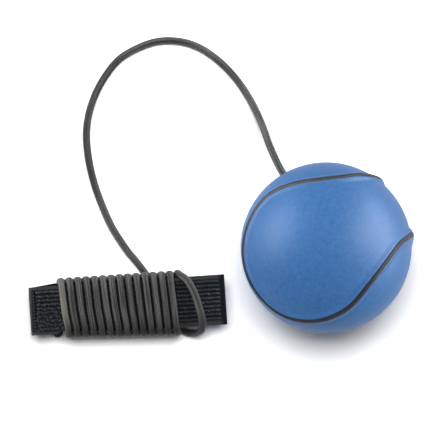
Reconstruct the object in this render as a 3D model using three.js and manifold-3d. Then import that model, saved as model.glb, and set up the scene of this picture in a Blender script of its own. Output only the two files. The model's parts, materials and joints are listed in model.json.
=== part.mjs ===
// Hurling wrist ball: a hollow rubber ball with a raised two-lobe seam, on an elastic cord
// that is wound round its folded wrist strap. Millimetres, +Z up, everything lies on z = 0.

import * as THREE from "three";
import { mergeVertices } from "three/addons/utils/BufferGeometryUtils.js";
import Module from "manifold-3d";

// Ball
const BALL_DIAMETER = 70;
const BALL_WALL = 8;
const BALL_CENTRE = [43.04, 0.7];
const BORE_AZIMUTH = 120;
const BORE_DROP = 20;
const BORE_CLEARANCE = 0.4;

// Seam ridge and the bead in its groove, measured from the ball's surface
const RIDGE_FOOT_WIDTH = 5.8;
const RIDGE_SHOULDER_WIDTH = 4.4;
const RIDGE_CREST_WIDTH = 3.4;
const RIDGE_SHOULDER_HEIGHT = 0.7;
const RIDGE_HEIGHT = 1.0;
const RIDGE_ROOT = 1.2;
const BEAD_WIDTH = 2.4;
const BEAD_THICKNESS = 0.9;
const BEAD_CROWN_WIDTH = 1.3;
const BEAD_SHOULDER_THICKNESS = 0.55;
const BEAD_CLEARANCE = 0.3;
const GROOVE_FLOOR = 0.25;

// One half of the seam as azimuth and elevation in degrees, seen from the ball's centre. A half turn
// about the axis at WAIST_AZIMUTH carries this half to the other one.
const WAIST_AZIMUTH = 30;
const SEAM_HALF = [
  [52, 2], [65, 22.7], [80, 34.5], [98, 37.8], [118.5, 33.4], [140, 25.5], [164, 21.4], [188, 18.3],
  [212, 20.4], [236, 23.8], [261, 32.4], [288, 43], [318, 50.5], [344, 47], [362, 35], [368, 17],
];

// Wrist strap: webbing folded in three, with tapes on its two outer faces
const STRAP_CENTRE = [-38.56, -23.1];
const STRAP_TURN = 3.8;
const STRAP_LENGTH = 80.2;
const STRAP_WIDTH = 20;
const WEBBING_THICKNESS = 1.5;
const WEBBING_EDGE = 0.4;
const FOLD_GAP = 0.3;
const RIGHT_FOLD_INSET = 1;
const INNER_END_INSET = 4;
const BARE_END_LENGTH = 2.7;
const TAPE_GAP = 0.2;
const HOOK_TAPE_LENGTH = 74.8;
const HOOK_TAPE_WIDTH = 17;
const HOOK_TAPE_BASE = 0.6;
const HOOK_RIB_COUNT = 10;
const HOOK_RIB_WIDTH = 0.9;
const HOOK_RIB_HEIGHT = 0.5;
const LOOP_TAPE_LENGTH = 68;
const LOOP_TAPE_WIDTH = 17;
const LOOP_TAPE_THICKNESS = 0.8;
const LOOP_TAPE_EDGE = 0.25;

// Elastic cord and its winding
const CORD_DIAMETER = 3;
const CORD_FLAT = 0.3;
const END_GAP = 0.3;
const WRAP_GAP = 0.35;
const CROSSING_GAP = 0.5;
const TURN_COUNT = 14;
const TURN_PITCH = 3.446;
const FIRST_TURN = -26.2;
const TURN_CORNER_RADIUS = 3.5;
const LEAST_WINDING_GAP = 0.4;

// Knots: ring radius and strand radius of a small trefoil
const BALL_KNOT_RING = 2.1;
const BALL_KNOT_STRAND = 1;
const STRAP_KNOT_RING = 1.4;
const STRAP_KNOT_STRAND = 0.68;
const STRAP_KNOT_PEEK = 1.4;
const STRAP_KNOT_ALONG = -29.7;
const KNOT_REACH = 1.5;

// Facets
const BALL_SEGMENTS = [40, 26];
const HOLLOW_SEGMENTS = [24, 14];
const BORE_SIDES = 16;
const SEAM_STEPS = 120;
const FOLD_STEPS = 8;
const CORNER_STEPS = 4;
const WINDING_SIDES = 6;
const LOOSE_STEPS = 34;
const LOOP_SIDES = 8;
const LOOP_STEPS = 66;
const KNOT_STEPS = 40;
const KNOT_SIDES = 6;
const WELD_DISTANCE = 1e-4;

const radians = THREE.MathUtils.degToRad;
const wasm = await Module();
wasm.setup();

function material(color, roughness) {
  return new THREE.MeshStandardMaterial({ color, roughness, metalness: 0 });
}

function named(name, geometry, finish) {
  const mesh = new THREE.Mesh(geometry, finish);
  mesh.name = name;
  return mesh;
}

// Welds a geometry's shared corners, so that only positions and triangles are left
function welded(geometry) {
  const bare = geometry.clone();
  bare.deleteAttribute("normal");
  bare.deleteAttribute("uv");
  return mergeVertices(bare, WELD_DISTANCE);
}

function solid(geometry) {
  const mesh = welded(geometry);
  return new wasm.Manifold(new wasm.Mesh({
    numProp: 3,
    vertProperties: new Float32Array(mesh.attributes.position.array),
    triVerts: new Uint32Array(mesh.index.array),
  }));
}

function meshGeometry(points, triangles) {
  const geometry = new THREE.BufferGeometry();
  geometry.setAttribute("position", new THREE.Float32BufferAttribute(points, 3));
  geometry.setIndex(triangles);
  geometry.computeVertexNormals();
  return geometry;
}

function geometryOf(body) {
  const mesh = body.getMesh();
  return meshGeometry(Array.from(mesh.vertProperties), Array.from(mesh.triVerts));
}

// Direction from the ball's centre, from an azimuth about Z and an elevation in degrees
function direction(azimuth, elevation) {
  const level = Math.cos(radians(elevation));
  return new THREE.Vector3(
    level * Math.cos(radians(azimuth)),
    level * Math.sin(radians(azimuth)),
    Math.sin(radians(elevation)),
  );
}

function polygon(corners) {
  return new THREE.Shape(corners.map(([x, y]) => new THREE.Vector2(x, y)));
}

function regularSection(radius, sides) {
  const corners = [];
  for (let k = 0; k < sides; k += 1) {
    const angle = (2 * Math.PI * (k + 0.5)) / sides;
    corners.push([radius * Math.cos(angle), radius * Math.sin(angle)]);
  }
  return polygon(corners);
}

// Joins rings of points that have as many corners each into one skin
function ringSkin(rings, closed) {
  const sides = rings[0].length;
  const points = rings.flat().flatMap((p) => [p.x, p.y, p.z]);
  const triangles = [];
  const spans = closed ? rings.length : rings.length - 1;
  for (let i = 0; i < spans; i += 1) {
    const here = i * sides;
    const next = ((i + 1) % rings.length) * sides;
    for (let k = 0; k < sides; k += 1) {
      const side = (k + 1) % sides;
      triangles.push(here + k, here + side, next + side, here + k, next + side, next + k);
    }
  }
  if (!closed) {
    const last = (rings.length - 1) * sides;
    for (let k = 1; k < sides - 1; k += 1) {
      triangles.push(0, k + 1, k, last, last + k, last + k + 1);
    }
  }
  return meshGeometry(points, triangles);
}

// Ball

const BALL_RADIUS = BALL_DIAMETER / 2;
const CORD_RADIUS = CORD_DIAMETER / 2;
const boreAxis = direction(BORE_AZIMUTH, -BORE_DROP);

// The seam as a closed curve of unit directions
function seamDirections() {
  const half = SEAM_HALF.map(([azimuth, elevation]) => direction(azimuth, elevation));
  const other = SEAM_HALF.map(([azimuth, elevation]) => direction(2 * WAIST_AZIMUTH - azimuth, -elevation));
  const curve = new THREE.CatmullRomCurve3([...half, ...other], true, "centripetal");
  return curve.getSpacedPoints(SEAM_STEPS).slice(0, SEAM_STEPS).map((p) => p.normalize());
}

// Sweeps a section of [across, height above the ball's surface] corners along the seam
function seamSweep(section) {
  const path = seamDirections();
  const rings = path.map((out, i) => {
    const before = path[(i + path.length - 1) % path.length];
    const after = path[(i + 1) % path.length];
    const along = after.clone().sub(before).normalize();
    const across = out.clone().cross(along).normalize();
    return section.map(([side, height]) =>
      out.clone().multiplyScalar(BALL_RADIUS + height).addScaledVector(across, side));
  });
  return ringSkin(rings, true);
}

function ridgeSection() {
  const foot = RIDGE_FOOT_WIDTH / 2;
  const shoulder = RIDGE_SHOULDER_WIDTH / 2;
  const crest = RIDGE_CREST_WIDTH / 2;
  const groove = BEAD_WIDTH / 2 + BEAD_CLEARANCE;
  return [
    [-foot, -RIDGE_ROOT], [foot, -RIDGE_ROOT], [shoulder, RIDGE_SHOULDER_HEIGHT], [crest, RIDGE_HEIGHT],
    [groove, RIDGE_HEIGHT], [groove, GROOVE_FLOOR], [-groove, GROOVE_FLOOR], [-groove, RIDGE_HEIGHT],
    [-crest, RIDGE_HEIGHT], [-shoulder, RIDGE_SHOULDER_HEIGHT],
  ];
}

function beadSection() {
  const side = BEAD_WIDTH / 2;
  const crown = BEAD_CROWN_WIDTH / 2;
  const bottom = GROOVE_FLOOR + BEAD_CLEARANCE;
  return [
    [-side, bottom], [side, bottom], [side, bottom + BEAD_SHOULDER_THICKNESS],
    [crown, bottom + BEAD_THICKNESS], [-crown, bottom + BEAD_THICKNESS],
    [-side, bottom + BEAD_SHOULDER_THICKNESS],
  ];
}

function ball() {
  const group = new THREE.Group();
  const hollowRadius = BALL_RADIUS - BALL_WALL;
  const skin = new THREE.SphereGeometry(BALL_RADIUS, ...BALL_SEGMENTS).rotateX(Math.PI / 2);
  const hollow = new THREE.SphereGeometry(hollowRadius, ...HOLLOW_SEGMENTS).rotateX(Math.PI / 2);
  const bore = new THREE.CylinderGeometry(
    CORD_RADIUS + BORE_CLEARANCE, CORD_RADIUS + BORE_CLEARANCE, 2 * BALL_WALL, BORE_SIDES);
  bore.applyQuaternion(new THREE.Quaternion().setFromUnitVectors(new THREE.Vector3(0, 1, 0), boreAxis));
  bore.translate(...boreAxis.clone().multiplyScalar(BALL_RADIUS - BALL_WALL / 2));
  const shell = solid(skin).add(solid(seamSweep(ridgeSection())))
    .subtract(solid(hollow)).subtract(solid(bore));
  group.add(named("ball_shell", geometryOf(shell), material(0x3f72b8, 0.55)));
  group.add(named("seam_stripe", seamSweep(beadSection()), material(0x1d1f22, 0.6)));
  group.position.set(...BALL_CENTRE, BALL_RADIUS);
  return group;
}

// Levels in the strap's package, from the floor up

const FLOOR_RUN = CORD_RADIUS - CORD_FLAT;
const LOWER_RUN = FLOOR_RUN + CORD_DIAMETER + CROSSING_GAP;
const LOOP_TAPE_BOTTOM = LOWER_RUN + CORD_RADIUS + WRAP_GAP;
const BAND_BOTTOM = LOOP_TAPE_BOTTOM + LOOP_TAPE_THICKNESS + TAPE_GAP;
const LAYER_STEP = WEBBING_THICKNESS + FOLD_GAP;
const BAND_TOP = BAND_BOTTOM + 2 * LAYER_STEP + WEBBING_THICKNESS;
const HOOK_TAPE_BOTTOM = BAND_TOP + TAPE_GAP;
const HOOK_TAPE_TOP = HOOK_TAPE_BOTTOM + HOOK_TAPE_BASE + HOOK_RIB_HEIGHT;
const UPPER_RUN = HOOK_TAPE_TOP + WRAP_GAP + CORD_RADIUS;

// Strap, in its own frame: X along it, Y across it, Z up

// Extrudes a section drawn in X and Z through a width along Y
function acrossStrap(shape, width, edge) {
  const geometry = new THREE.ExtrudeGeometry(shape, {
    depth: width - 2 * edge,
    bevelEnabled: edge > 0,
    bevelThickness: edge,
    bevelSize: edge,
    bevelOffset: -edge,
    bevelSegments: 1,
    curveSegments: FOLD_STEPS,
  });
  geometry.rotateX(Math.PI / 2);
  geometry.translate(0, width / 2 - edge, 0);
  return geometry;
}

// The webbing's S fold seen from its edge: the top layer's free end is on the right, and its bare
// end is a face of its own
function strapBand() {
  const outer = WEBBING_THICKNESS + FOLD_GAP / 2;
  const inner = FOLD_GAP / 2;
  const end = STRAP_LENGTH / 2;
  const left = -end + outer;
  const right = end - RIGHT_FOLD_INSET - outer;
  const lowFold = BAND_BOTTOM + outer;
  const highFold = lowFold + LAYER_STEP;
  const shape = new THREE.Shape();
  shape.moveTo(-end + INNER_END_INSET, BAND_BOTTOM);
  shape.lineTo(right, BAND_BOTTOM);
  shape.absarc(right, lowFold, outer, -Math.PI / 2, Math.PI / 2, false);
  shape.lineTo(left, highFold - inner);
  shape.absarc(left, highFold, inner, -Math.PI / 2, Math.PI / 2, true);
  shape.lineTo(end, highFold + inner);
  shape.lineTo(end, BAND_TOP);
  shape.lineTo(end - BARE_END_LENGTH, BAND_TOP);
  shape.lineTo(left, BAND_TOP);
  shape.absarc(left, highFold, outer, Math.PI / 2, (3 * Math.PI) / 2, false);
  shape.lineTo(right, lowFold + inner);
  shape.absarc(right, lowFold, inner, Math.PI / 2, -Math.PI / 2, true);
  shape.lineTo(-end + INNER_END_INSET, BAND_BOTTOM + WEBBING_THICKNESS);
  shape.closePath();
  return acrossStrap(shape, STRAP_WIDTH, WEBBING_EDGE);
}

// A comb of lengthwise ribs on a thin base, drawn across the strap and extruded along it
function hookTape() {
  const half = HOOK_TAPE_WIDTH / 2;
  const pitch = HOOK_TAPE_WIDTH / HOOK_RIB_COUNT;
  const base = HOOK_TAPE_BOTTOM + HOOK_TAPE_BASE;
  const corners = [[-half, HOOK_TAPE_BOTTOM], [half, HOOK_TAPE_BOTTOM], [half, base]];
  for (let k = HOOK_RIB_COUNT - 1; k >= 0; k -= 1) {
    const middle = -half + (k + 0.5) * pitch;
    const right = middle + HOOK_RIB_WIDTH / 2;
    const left = middle - HOOK_RIB_WIDTH / 2;
    corners.push([right, base], [right, HOOK_TAPE_TOP], [left, HOOK_TAPE_TOP], [left, base]);
  }
  corners.push([-half, base]);
  const geometry = new THREE.ExtrudeGeometry(polygon(corners), {
    depth: HOOK_TAPE_LENGTH, bevelEnabled: false,
  });
  geometry.rotateX(Math.PI / 2);
  geometry.rotateZ(Math.PI / 2);
  geometry.translate(-HOOK_TAPE_LENGTH / 2, 0, 0);
  return geometry;
}

function loopTape() {
  const half = LOOP_TAPE_LENGTH / 2;
  const top = LOOP_TAPE_BOTTOM + LOOP_TAPE_THICKNESS;
  const shape = polygon([[-half, LOOP_TAPE_BOTTOM], [half, LOOP_TAPE_BOTTOM], [half, top], [-half, top]]);
  return acrossStrap(shape, LOOP_TAPE_WIDTH, LOOP_TAPE_EDGE);
}

// Winding, in the strap's frame

const TURN_HALF_WIDTH = STRAP_WIDTH / 2 + WRAP_GAP + CORD_RADIUS;
const TURN_HALF_HEIGHT = (UPPER_RUN - LOWER_RUN) / 2;
const TURN_MIDDLE = (UPPER_RUN + LOWER_RUN) / 2;

// One turn's outline as [across, height, share of the turn], from the lower run's far end round to
// where it starts again. Four corners, each with its arc and the middle of the run that follows.
function turnOutline() {
  const reach = TURN_HALF_WIDTH - TURN_CORNER_RADIUS;
  const rise = TURN_HALF_HEIGHT - TURN_CORNER_RADIUS;
  const arc = (Math.PI / 2) * TURN_CORNER_RADIUS;
  const runs = [2 * rise, 2 * reach, 2 * rise, 2 * reach];
  const length = 4 * (reach + rise) + 4 * arc;
  const corners = [[reach, -rise], [reach, rise], [-reach, rise], [-reach, -rise]];
  const outline = [];
  let walked = 0;
  corners.forEach(([y, z], c) => {
    for (let j = 0; j <= CORNER_STEPS; j += 1) {
      const share = j / CORNER_STEPS;
      const angle = (Math.PI / 2) * (c - 1 + share);
      outline.push([
        y + TURN_CORNER_RADIUS * Math.cos(angle),
        z + TURN_CORNER_RADIUS * Math.sin(angle),
        (walked + share * arc) / length,
      ]);
    }
    walked += arc;
    const [nextY, nextZ] = corners[(c + 1) % corners.length];
    const turned = (Math.PI / 2) * c;
    outline.push([
      (y + nextY) / 2 + TURN_CORNER_RADIUS * Math.cos(turned),
      (z + nextZ) / 2 + TURN_CORNER_RADIUS * Math.sin(turned),
      (walked + runs[c] / 2) / length,
    ]);
    walked += runs[c];
  });
  return outline;
}

// The loose last loop, laid over the strap's face, round its near edge and back under the package
function looseLoop(start) {
  const edge = TURN_HALF_WIDTH;
  const [upper, lower, floor] = [UPPER_RUN, LOWER_RUN, FLOOR_RUN];
  const points = [
    [0, edge - 3.5, lower], [0.2, edge - 0.7, lower + 1.6], [0.5, edge + 0.3, lower + 5.4],
    [1.6, edge - 0.5, upper - 1.6], [3.6, edge - 3, upper + 0.1], [6.2, 3.4, upper], [7.9, -2.3, upper],
    [9.1, -7.1, upper], [9.4, 1.9 - edge, upper - 0.6], [9.2, -0.6 - edge, upper - 3.2],
    [8, -1.5 - edge, lower + 4.4], [5.9, -1.5 - edge, lower + 0.2], [3.1, -0.4 - edge, floor + 1],
    [0.5, 1.5 - edge, floor], [-6.4, 1.9, floor], [-13.5, edge + 2.2, floor],
    [-16.8, edge + 7, floor + 0.15], [-19, edge + 10, CORD_RADIUS],
  ];
  return points.map(([x, y, z]) => new THREE.Vector3(start + x, y, z));
}

function windingPath() {
  const outline = turnOutline();
  const faceShare = outline[2 * (CORNER_STEPS + 2) - 1][2];
  const along = (turn, share) => FIRST_TURN + TURN_PITCH * (turn + share - faceShare);
  const [, , firstShare] = outline[0];
  const knotSide = strapKnotPlace().y + STRAP_KNOT_RING * KNOT_REACH + STRAP_KNOT_STRAND + END_GAP;
  const path = [
    new THREE.Vector3(STRAP_KNOT_ALONG, knotSide, LOWER_RUN),
    new THREE.Vector3(STRAP_KNOT_ALONG, knotSide + CORD_DIAMETER, LOWER_RUN),
  ];
  for (let turn = 0; turn < TURN_COUNT; turn += 1) {
    outline.forEach(([y, z, share]) => {
      path.push(new THREE.Vector3(along(turn, share), y, TURN_MIDDLE + z));
    });
  }
  const loose = new THREE.CatmullRomCurve3(looseLoop(along(TURN_COUNT, firstShare)), false, "centripetal");
  return [...path, ...loose.getSpacedPoints(LOOSE_STEPS)];
}

// A cord of flat sides along a path, with its underside kept on the floor
function cordSkin(path, sides) {
  const tangents = path.map((p, i) => {
    const before = path[Math.max(i - 1, 0)];
    const after = path[Math.min(i + 1, path.length - 1)];
    return after.clone().sub(before).normalize();
  });
  let normal = new THREE.Vector3(0, 0, 1);
  const rings = path.map((p, i) => {
    normal = normal.clone().addScaledVector(tangents[i], -normal.dot(tangents[i])).normalize();
    const side = tangents[i].clone().cross(normal);
    const ring = [];
    for (let k = 0; k < sides; k += 1) {
      const angle = (2 * Math.PI * k) / sides;
      const corner = p.clone()
        .addScaledVector(normal, CORD_RADIUS * Math.cos(angle))
        .addScaledVector(side, CORD_RADIUS * Math.sin(angle));
      corner.z = Math.max(corner.z, 0);
      ring.push(corner);
    }
    return ring;
  });
  return ringSkin(rings, false);
}

// Least clear distance between stretches of a path that aren't neighbours along it
function leastGap(path) {
  const neighbourSpan = 3 * CORD_DIAMETER;
  const walked = [0];
  for (let i = 1; i < path.length; i += 1) {
    walked.push(walked[i - 1] + path[i].distanceTo(path[i - 1]));
  }
  let least = Infinity;
  for (let i = 0; i < path.length; i += 1) {
    for (let k = i + 1; k < path.length; k += 1) {
      if (walked[k] - walked[i] > neighbourSpan) {
        least = Math.min(least, path[i].distanceTo(path[k]) - CORD_DIAMETER);
      }
    }
  }
  return least;
}

// Knots

// The strap's knot lies on the floor, under the pile tape
const STRAP_KNOT_HEIGHT = LOOP_TAPE_BOTTOM - END_GAP;

function strapKnotPlace() {
  const reach = STRAP_KNOT_RING * KNOT_REACH + STRAP_KNOT_STRAND;
  return new THREE.Vector3(
    STRAP_KNOT_ALONG, -STRAP_WIDTH / 2 - STRAP_KNOT_PEEK + reach, STRAP_KNOT_HEIGHT / 2);
}

function trefoil(ring, strand, height) {
  const knot = new THREE.TorusKnotGeometry(ring, strand, KNOT_STEPS, KNOT_SIDES, 2, 3);
  knot.scale(1, 1, height / (ring + 2 * strand));
  return welded(knot);
}

function strapKnot() {
  const place = strapKnotPlace();
  const geometry = trefoil(STRAP_KNOT_RING, STRAP_KNOT_STRAND, STRAP_KNOT_HEIGHT);
  return geometry.translate(place.x, place.y, place.z);
}

// How far from the ball's centre the inner knot reaches, where its rim meets the round wall
function ballKnotTop() {
  const rim = BALL_KNOT_RING * KNOT_REACH + BALL_KNOT_STRAND;
  return Math.sqrt((BALL_RADIUS - BALL_WALL) ** 2 - rim ** 2) - END_GAP;
}

function ballKnot() {
  const height = BALL_KNOT_RING + 2 * BALL_KNOT_STRAND;
  const geometry = trefoil(BALL_KNOT_RING, BALL_KNOT_STRAND, height);
  geometry.applyQuaternion(new THREE.Quaternion().setFromUnitVectors(new THREE.Vector3(0, 0, 1), boreAxis));
  return geometry.translate(...ballPoint(ballKnotTop() - height / 2));
}

// Free stretch of the cord, in the part's frame

// A point on the bore's axis, at a distance from the ball's centre
function ballPoint(distance) {
  return new THREE.Vector3(...BALL_CENTRE, BALL_RADIUS).addScaledVector(boreAxis, distance);
}

// The route from the strap round to the ball. Points with no height lie on the floor, and the last
// ones lift towards the ball.
const LOOP_ROUTE = [
  [-44.7, 8.7], [-49.2, 18.6], [-52.6, 28.5], [-54.7, 38.3], [-55.4, 48.2], [-53.8, 58],
  [-49.7, 67.9], [-42.5, 77.7], [-35.2, 82.4], [-27, 85.4], [-18.8, 85.8], [-10.6, 83.8],
  [-2.4, 78.8], [5.8, 70.7], [11.7, 62.1, 2.4], [15, 55.6, 5.8], [17.7, 49, 11.2], [20, 42.4, 16.6],
];

function cordLoop(tail) {
  const end = tail[tail.length - 1];
  const heading = end.clone().sub(tail[tail.length - 2]).normalize();
  const start = end.clone().addScaledVector(heading, END_GAP);
  const straight = start.clone().addScaledVector(heading, CORD_DIAMETER);
  const route = [
    start, straight, ...LOOP_ROUTE.map(([x, y, z = CORD_RADIUS]) => new THREE.Vector3(x, y, z)),
    ballPoint(BALL_RADIUS + 2 * CORD_DIAMETER), ballPoint(BALL_RADIUS),
    ballPoint(BALL_RADIUS - BALL_WALL / 2), ballPoint(ballKnotTop() + END_GAP),
  ];
  return new THREE.ExtrudeGeometry(regularSection(CORD_RADIUS, LOOP_SIDES), {
    steps: LOOP_STEPS,
    extrudePath: new THREE.CatmullRomCurve3(route, false, "centripetal"),
  });
}

// Assembly

const webbing = () => material(0x17191d, 0.9);
const elastic = () => material(0x4a4a48, 0.85);

const strap = new THREE.Group();
strap.position.set(...STRAP_CENTRE, 0);
strap.rotation.z = radians(STRAP_TURN);
strap.updateMatrix();

const winding = windingPath();
const gap = leastGap(winding);
console.log(`cord_winding: least gap to itself ${gap.toFixed(3)} mm, wanted over ${LEAST_WINDING_GAP} mm`);

strap.add(named("strap_band", strapBand(), webbing()));
strap.add(named("hook_tape", hookTape(), webbing()));
strap.add(named("loop_tape", loopTape(), webbing()));
strap.add(named("cord_winding", cordSkin(winding, WINDING_SIDES), elastic()));
strap.add(named("strap_knot", strapKnot(), elastic()));

const tail = winding.slice(-2).map((p) => p.clone().applyMatrix4(strap.matrix));

const wristBall = new THREE.Group();
wristBall.name = "hurling_wrist_ball";
wristBall.add(ball());
wristBall.add(strap);
wristBall.add(named("cord_loop", cordLoop(tail), elastic()));
wristBall.add(named("ball_knot", ballKnot(), elastic()));

export default wristBall;
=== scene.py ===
"""Hurling wrist ball on a white table, seen from straight above. Metres, +Z up.

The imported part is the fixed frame. The ball, its seam bead, the braided cord with its knots, the folded
webbing and its tapes are modelled here round that frame.
"""

import json
import math

import bmesh
import bpy
import numpy as np
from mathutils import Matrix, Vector
from mathutils.kdtree import KDTree

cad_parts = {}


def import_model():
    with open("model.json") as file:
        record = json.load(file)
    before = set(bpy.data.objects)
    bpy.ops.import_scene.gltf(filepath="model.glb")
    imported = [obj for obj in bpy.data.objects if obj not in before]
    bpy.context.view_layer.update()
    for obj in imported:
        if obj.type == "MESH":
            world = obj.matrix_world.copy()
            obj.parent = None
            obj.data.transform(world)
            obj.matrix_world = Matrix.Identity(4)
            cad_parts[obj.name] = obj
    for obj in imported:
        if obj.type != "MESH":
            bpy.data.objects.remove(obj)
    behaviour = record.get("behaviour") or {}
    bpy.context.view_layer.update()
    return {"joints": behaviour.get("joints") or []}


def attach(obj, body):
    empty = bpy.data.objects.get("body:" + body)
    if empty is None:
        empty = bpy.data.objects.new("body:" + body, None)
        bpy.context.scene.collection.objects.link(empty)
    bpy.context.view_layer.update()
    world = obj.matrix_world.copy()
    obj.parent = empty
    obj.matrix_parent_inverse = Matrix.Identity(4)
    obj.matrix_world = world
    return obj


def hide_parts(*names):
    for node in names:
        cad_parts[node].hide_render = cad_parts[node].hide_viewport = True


MM = 0.001

# Limits: steps between a curve's points, the least Z of an upright way, and places that count as the same
CURVE_STEPS = 14
UPRIGHT = 0.9
MERGE_DISTANCE = 1e-7
TOUCH = 1e-6

# Picture
PICTURE_WIDTH = 176.6 * MM
PICTURE_CENTRE = (-2.46 * MM, 14.08 * MM)
PICTURE_LEVEL = 17 * MM
CAMERA_DISTANCE = 5.0
CAMERA_REACH = 20.0
SENSOR_WIDTH = 36.0

# Ball
BALL_RADIUS = 35 * MM
BALL_WALL = 8 * MM
BALL_SUBDIVISIONS = 6
HOLLOW_SUBDIVISIONS = 4
BORE_RADIUS = 1.9 * MM
BORE_FLARE = 0.5 * MM
BORE_SIDES = 32

# Seam: its course in degrees round and up, its ridge on the ball, and the bead in the ridge's groove
WAIST_AZIMUTH = 30
SEAM_HALF = [
    (52, 2), (65, 22.7), (80, 34.5), (98, 37.8), (118.5, 33.4), (140, 24.4), (164, 20.1), (188, 16.9),
    (212, 19.1), (236, 22.9), (261, 32.4), (288, 43), (318, 50.5), (344, 47), (362, 35), (368, 17),
]
SEAM_STEP = 0.45 * MM
RIDGE_HEIGHT = 0.92 * MM
RIDGE_CREST = 1.5 * MM
RIDGE_FOOT = 4.0 * MM
RIDGE_BAND = 4.6 * MM
RIDGE_CUTS = 4
GROOVE_INNER = 0.9 * MM
GROOVE_OUTER = 1.35 * MM
BEAD_HALF_WIDTH = 1.16 * MM
BEAD_HALF_THICKNESS = 0.48 * MM
BEAD_MIDDLE = 0.85 * MM
BEAD_GAP = 0.07 * MM
BEAD_SIDES = 16
BEAD_STEP = 1.65 * MM
WIDE_AZIMUTH = 260
WIDE_REACH = 70
LEAST_WIDTH = 0.84
WORN_AZIMUTH = 125
WORN_REACH = 48
LEAST_WEAR = 0.3
WORN_DOWN = 0.4

# Strap: its place, its webbing folded in three, and how the winding has pulled it out of shape
STRAP_CENTRE = (-38.56 * MM, -23.1 * MM)
STRAP_TURN = math.radians(3.8)
STRAP_LENGTH = 80.2 * MM
STRAP_WIDTH = 20 * MM
WEBBING_THICKNESS = 1.5 * MM
FOLD_GAP = 0.3 * MM
FOLD_STEPS = 10
RIGHT_FOLD_INSET = 1 * MM
INNER_END_INSET = 4 * MM
END_REACH = 0.5 * MM
WEBBING_STEP = 0.75 * MM
WEBBING_COLUMNS = 80
WEBBING_RIBS = 18
WEBBING_RELIEF = 0.06 * MM
WEBBING_BEVEL = 0.4 * MM
BEVEL_SEGMENTS = 3
BEVEL_ANGLE = math.radians(60)
RIBS_END = (0.3, 0.7)
LAYER_PEEK_PLACES = (-38.4 * MM, -29 * MM, -24 * MM, 19 * MM, 24 * MM)
LAYER_PEEKS = (0, 1.1 * MM, 0.55 * MM, 0.55 * MM, 0)
END_PULL = 0.15 * MM
END_SPREAD = 0.035
END_DROP = 0.15 * MM
SPREAD_FROM = (8 * MM, 20 * MM)
SELVEDGE_REACH = (8.4 * MM, 8.8 * MM)
SELVEDGE_END = 0.8 * MM
# How much of the pale edge is taken away on the far edge under the turns, as painted shade
FAR_EDGE_SHADE = 0.5
FOLD_LEAST = 0.1
FOLD_MOST = 0.6

# Tapes on the strap's two faces
TAPE_GAP = 0.2 * MM
TAPE_COLUMNS = 120
TAPE_ROWS = 64
RIBS_RUN_OUT = 0.3 * MM
HOOK_TAPE_LENGTH = 76 * MM
HOOK_TAPE_SHIFT = 0.6 * MM
HOOK_TAPE_WIDTH = 17 * MM
HOOK_TAPE_BASE = 0.6 * MM
RIB_RELIEF = 0.3 * MM
LOOP_TAPE_LENGTH = 68 * MM
LOOP_TAPE_WIDTH = 17 * MM
LOOP_TAPE_THICKNESS = 0.8 * MM
PILE_RELIEF = 0.12 * MM

# Hooks, and where they are matted, pressed flat and painted with shade under the turns, or dim
HOOK_ROWS = 10
HOOK_HEIGHT = 0.5 * MM
HOOK_WIRE = 0.42 * MM
HOOK_SIDES = 6
HOOK_STEM = 0.22 * MM
HOOK_BEND = 0.4 * MM
HOOK_TURN = math.radians(205)
HOOK_TURN_STEPS = 5
HOOK_PITCH = 0.92 * MM
HOOK_SLANT = math.radians(-38)
HOOK_JITTER = 0.1 * MM
HOOK_TWIST = math.radians(34)
MATTED_ALONG = (22 * MM, 30 * MM)
MATTED_ACROSS = (-6 * MM, 1 * MM)
MATTED_JITTER = 5.0
MATTED_SHADE = 0.15
MATTED_EVEN = 0.75
MATTED_FLAT = 0.45
MATTED_SINK = 0.36
MATTED_LINT = 0.186 * MM
CRUSHED_SHARE = 0.6
DIM_EDGE = 0.75
DIM_FROM = (3.6 * MM, 7.4 * MM)

# Pile loops
PILE_ROWS = 14
LOOP_WIRE = 0.1 * MM
LOOP_RING = 0.32 * MM
LOOP_PITCH = 1.1 * MM
LOOP_STEPS = 10
LOOP_SIDES = 4

# Stitches at the strap's folded end
STITCH_INSET = 1.9 * MM
STITCH_COUNT = 13
STITCH_PITCH = 1.28 * MM
STITCH_LENGTH = 0.86 * MM
STITCH_THREAD = 0.4 * MM
STITCH_SINK = 0.3 * STITCH_THREAD
STITCH_RISE = 0.15 * STITCH_THREAD
STITCH_SIDES = 10
STITCH_RINGS = 8
NEEDLE_HOLE = 0.42 * MM
HOLE_DEPTH = 0.12 * MM
HOLE_RINGS = 6

# Cord and its winding
CORD_RADIUS = 1.5 * MM
CORD_FLAT = 0.3 * MM
CORD_STEP = 0.4 * MM
CORD_SIDES = 32
END_GAP = 0.3 * MM
WRAP_GAP = 0.35 * MM
CROSSING_GAP = 0.5 * MM
BORE_LEAD = 4 * CORD_RADIUS
TURN_COUNT = 14
TURN_PITCH = 3.446 * MM
FIRST_TURN = -25.75 * MM
TURN_EDGE = STRAP_WIDTH / 2 + WRAP_GAP + CORD_RADIUS
TURN_CORNER = 3.5 * MM
CORNER_STEPS = 6
RUN_PARTS = (0.25, 0.5, 0.75)
WOUND_RADIUS = 1.31 * MM
WOUND_EASE = 14 * MM
EDGE_SPREAD = 0.3
SQUARENESS = 4
LEAST_INWARDS = 1e-3
FAR_EDGE = (10.3 * MM, 11.3 * MM)
NEAR_EDGE = (11.0 * MM, 12.1 * MM)
STRANDS = 8
STRAND_PITCH = 1.7 * MM
STRAND_RELIEF = 0.012 * MM

# Near edge of the winding: pulled in at its first end, where turns have slipped, and loose at its last
LEAN_PLACES = (-27 * MM, 19 * MM)
LEAN_SHIFTS = (1.4 * MM, -0.7 * MM)
NEAR_SLIP = 0.45 * MM
SLIP_FADES = (-2 * MM, 12 * MM)

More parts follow.
